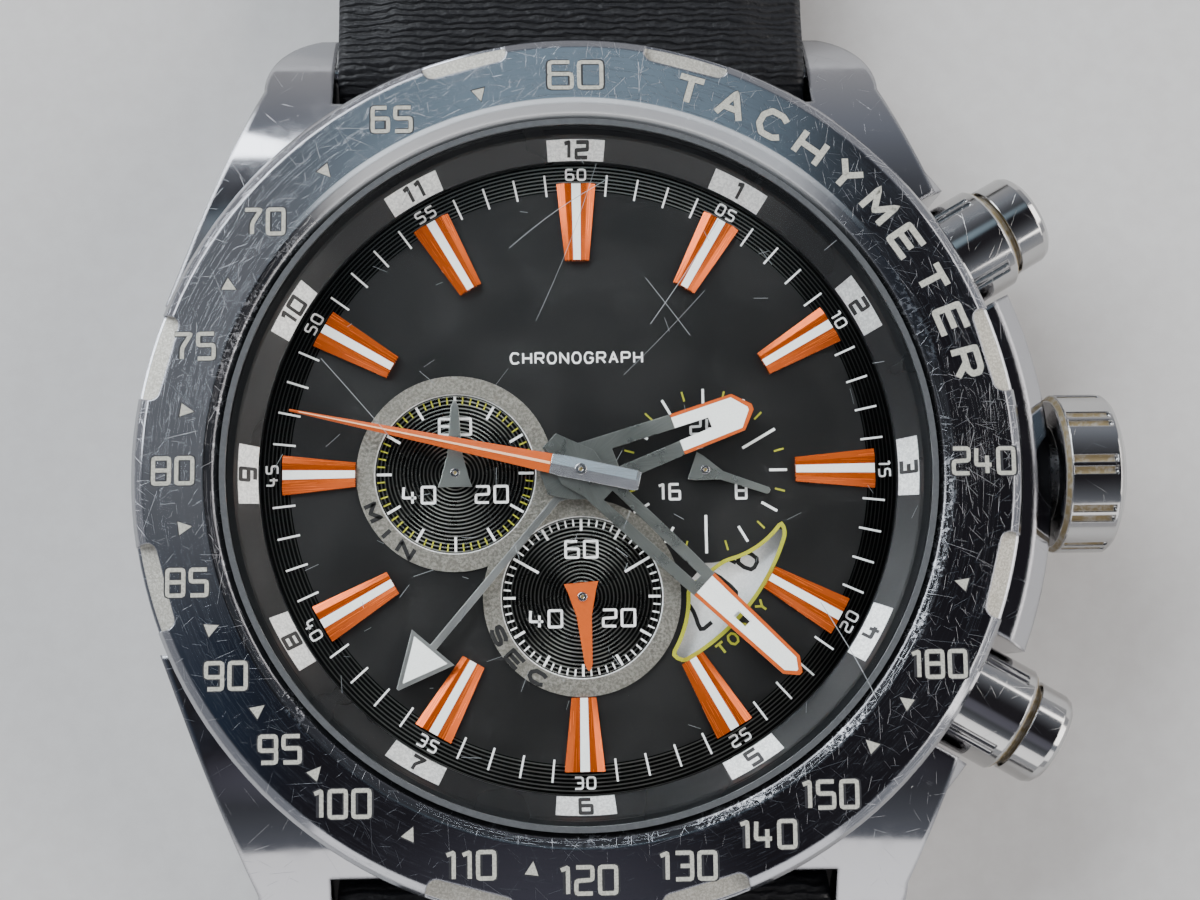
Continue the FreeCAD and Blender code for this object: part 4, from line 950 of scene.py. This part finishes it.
def strap_rows(sign, length, base, end_t, pointed):
    """Sections of a padded strap half, from its spring-bar eye to its end."""
    stations = [-EYE_R * cos(radians(a)) for a in range(8, 90, 9)]
    d = 0.0
    while d < length - ROUND_END:
        stations.append(d)
        d += 0.8
    if pointed:
        stations += [length - ROUND_END * cos(radians(a)) for a in range(0, 91, 5)]
    else:
        stations += [length - ROUND_END + i for i in range(12)]
        stations += [length + FOLD_R * sin(radians(a)) for a in range(0, 85, 12)]
    rows = []
    for d in stations:
        if d < 0:
            low, high = fold(BAR_Z, EYE_R, d)
        elif not pointed and d > length:
            low, high = fold(BUCKLE_Z, FOLD_R, d - length)
        else:
            low = ease(d, 0.0, 9.0, BAR_Z - EYE_R, base)
            if d < 9:
                high = ease(d, 1.0, 9.0, BAR_Z + EYE_R, base + 4.05)
            elif d < 24:
                high = ease(d, 9.0, 24.0, base + 4.05, base + end_t + 0.35)
            else:
                high = ease(d, 24.0, length - 5, base + end_t + 0.35, base + end_t)
        half = ease(d, 6.0, 55.0, 12.8, 11.0)       # half the width, tapering from the lugs
        if pointed and d > length - 9:
            half = min(half, sqrt(max(0.4, 11.22 ** 2 - (d - length + 11.22) ** 2)))
        thick = high - low
        pad = min(ease(d, -1.0, 3.0, 0.0, 1.0) * ease(d, 20.0, 70.0, 0.50, 0.22), 0.25 * thick)
        corner = min(0.55, 0.3 * thick)
        rim = high - pad
        turns = [radians(a) for a in range(0, 91, 18)]
        section = [(half - corner * (1 - sin(a)), low + corner * (1 - cos(a))) for a in turns]
        section += [(half - corner * (1 - cos(a)), rim - corner * (1 - sin(a))) for a in turns]
        for i in range(1, 15):          # border, then the padded middle
            x = (half - corner) * (1 - i / 14)
            section.append((x, rim + pad * ease(half - x, 1.5, 3.6, 0.0, 1.0)))
        ring = section + [(-x, z) for x, z in reversed(section[:-1])]
        rows.append([(x, sign * (BAR_Y + d), z) for x, z in ring])
    return rows


def cut_away(made, cutter):
    """Takes a cutter shape out of a piece's mesh for good."""
    tool = put("tool", cutter.mesh("tool"))
    cut = made.modifiers.new("cut", "BOOLEAN")
    cut.operation, cut.object, cut.solver, cut.use_self = "DIFFERENCE", tool, "EXACT", True
    made.data = bpy.data.meshes.new_from_object(made.evaluated_get(bpy.context.evaluated_depsgraph_get()))
    made.modifiers.clear()
    bpy.data.objects.remove(tool)


leather_mat, lining_mat = leather("ribbed_black_leather", (0.0045, 0.0045, 0.0055), 0.07), lining()
for name, old, sign, length, base, end_t, pointed, body in (
        ("strap_long", "strap_hole_half", -1, 120.0, 0.0, 2.8, True, "strap_6"),
        ("strap_short", "strap_buckle_half", 1, 75.0, 1.4, 3.0, False, "strap_12")):
    shape, cutter = Shape(), Shape()
    shape.quads(strap_rows(sign, length, base, end_t, pointed), closed=True, cap=True)
    made = shape.piece(name, body, "strap_leather", leather_mat, lining_mat, replaces=(old,))
    if pointed:
        for step in range(7):
            hole = (0.0, sign * (BAR_Y + length - 24 - 7 * step))
            cutter.slab(circle_points(hole, 1.1), flat(0), -2.0, 8.0)
    else:
        near, far = BUCKLE_Y - 4.5, BUCKLE_Y + 4
        cutter.slab([(-1.6, near), (1.6, near), (1.6, far), (-1.6, far)], flat(0), -1.0, 9.0)
    cut_away(made, cutter)
    for poly in made.data.polygons:
        poly.material_index = 1 if poly.normal.z < -0.6 else 0
    round_off(made.data, 38)


def keeper_loop(name, old, y, low, body):
    """Leather loop of rounded section round the strap."""
    corner, wall, wide, half, high = 2.0, 1.0, 6.0, 12.9, 8.8
    rim = ((-wall, -0.46), (-wall, 0.46), (-0.75, 0.5), (-0.25, 0.5), (-0.06, 0.46), (0.0, 0.3), (0.0, -0.3),
           (-0.06, -0.46), (-0.25, -0.5), (-0.75, -0.5))
    shape, rows = Shape(), []
    for cx, cz, start in ((half - corner, high - corner, 90), (half - corner, low + corner, 0),
                          (-half + corner, low + corner, -90), (-half + corner, high - corner, -180)):
        for i in range(0, 91, 15):
            a = radians(start - i)
            rows.append([(cx + cos(a) * (corner + t), y + w * wide, cz + sin(a) * (corner + t)) for t, w in rim])
    rows.append(rows[0])
    shape.quads(rows, closed=True)
    shape.piece(name, body, "strap_leather", leather_mat, smooth=50, replaces=(old,))


keeper_loop("keeper_sewn", "keeper_fixed", BUCKLE_Y - 10, 0.3, "strap_12")
keeper_loop("keeper_sliding", "keeper_loose", BUCKLE_Y - 24, 0.1, "keeper")

# ---- floor, light and camera ----
FLOOR_HALF = 3000.0
floor_shape = Shape()
floor_shape.verts = [(x * FLOOR_HALF, y * FLOOR_HALF, 0.0) for x, y in ((-1, -1), (1, -1), (1, 1), (-1, 1))]
floor_shape.faces = [(0, 1, 2, 3)]
floor = put("floor", floor_shape.mesh("floor"))
paper = Look("pale_paper", (0.74, 0.72, 0.70))
paper.paint(paper.step(paper.noise(0.8, 4.0, 0.6), 0.3, 0.7), (0.78, 0.765, 0.745))
floor.data.materials.append(paper.uneven(paper.noise(0.8), 0.7, 0.85).mat)

world = bpy.data.worlds.new("studio")
world.use_nodes = True
bpy.context.scene.world = world
tree = world.node_tree
towards = add_node(tree, "ShaderNodeTexCoord").outputs["Generated"]
height = add_node(tree, "ShaderNodeSeparateXYZ", {0: towards}).outputs[2]
ramp = add_node(tree, "ShaderNodeValToRGB", {0: height})
SKY = ((0.0, (0.60, 0.60, 0.62, 1)), (0.50, (0.32, 0.345, 0.40, 1)), (0.84, (0.10, 0.105, 0.12, 1)),
       (0.93, (0.030, 0.028, 0.034, 1)))
for index, (place, color) in enumerate(SKY):
    stop = ramp.color_ramp.elements[index] if index < 2 else ramp.color_ramp.elements.new(place)
    stop.position, stop.color = place, color
# Soft bright patches: direction, angles where they are full and gone, colour.
sky = ramp.outputs[0]
for direction, near, far, color in (
        ((0.02, 0.38, 1.0), 3, 13, (0.45, 0.62, 0.74)), ((-0.30, 0.24, 1.0), 2, 14, (0.30, 0.32, 0.34)),
        ((-0.40, -0.10, 1.0), 2, 12, (0.03, 0.07, 0.13)), ((0.0, -0.36, 1.0), 2, 14, (0.15, 0.15, 0.19))):
    near_it = add_node(tree, "ShaderNodeVectorMath", {0: towards, 1: Vector(direction).normalized()},
                       operation="DOT_PRODUCT").outputs["Value"]
    fade = add_node(tree, "ShaderNodeMapRange", {"Value": near_it, "From Min": cos(radians(far)),
                                                 "From Max": cos(radians(near))}, interpolation_type="SMOOTHSTEP")
    sky = add_node(tree, "ShaderNodeMix", {0: fade.outputs[0], 6: sky, 7: color}, data_type="RGBA",
                   blend_type="ADD").outputs[2]
for key, value in (("Color", sky), ("Strength", 0.9)):
    set_input(tree, tree.nodes["Background"], key, value)


def softbox(name, place, size, power, color):
    """Area light turned to the watch, with its place and size in metres."""
    light = bpy.data.lights.new(name, "AREA")
    light.shape, light.size, light.size_y = "RECTANGLE", *size
    light.energy, light.color = power, color
    lamp = put(name, light)
    lamp.location = place
    lamp.rotation_mode = "QUATERNION"
    lamp.rotation_quaternion = (Vector() - Vector(place)).to_track_quat("-Z", "Y")


softbox("key_upper_left", (-0.50, 0.50, 0.44), (0.90, 0.45), 10.5, (0.90, 0.95, 1.0))
softbox("fill_right", (0.62, 0.05, 0.36), (0.90, 0.34), 4.2, (1.0, 0.96, 0.92))
softbox("fill_low", (0.0, -0.62, 0.34), (1.10, 0.34), 1.7, (1.0, 0.98, 0.96))

camera = put("camera", bpy.data.cameras.new("camera"))
camera.data.sensor_width, camera.data.lens = 36.0, 55.33
camera.data.clip_start, camera.data.clip_end = 0.005, 20.0
tilt = (Matrix.Rotation(radians(1.000), 3, "Z") @ Matrix.Rotation(radians(-7.702), 3, "X")
        @ Matrix.Rotation(radians(2.262), 3, "Y")).transposed()
eye = tilt @ Vector((1.020, 1.154, 95.0)) + Vector((0, 0, DIAL_TOP))
camera.matrix_world = Matrix.Translation(eye * MM) @ tilt.to_4x4()
bpy.context.scene.camera = camera
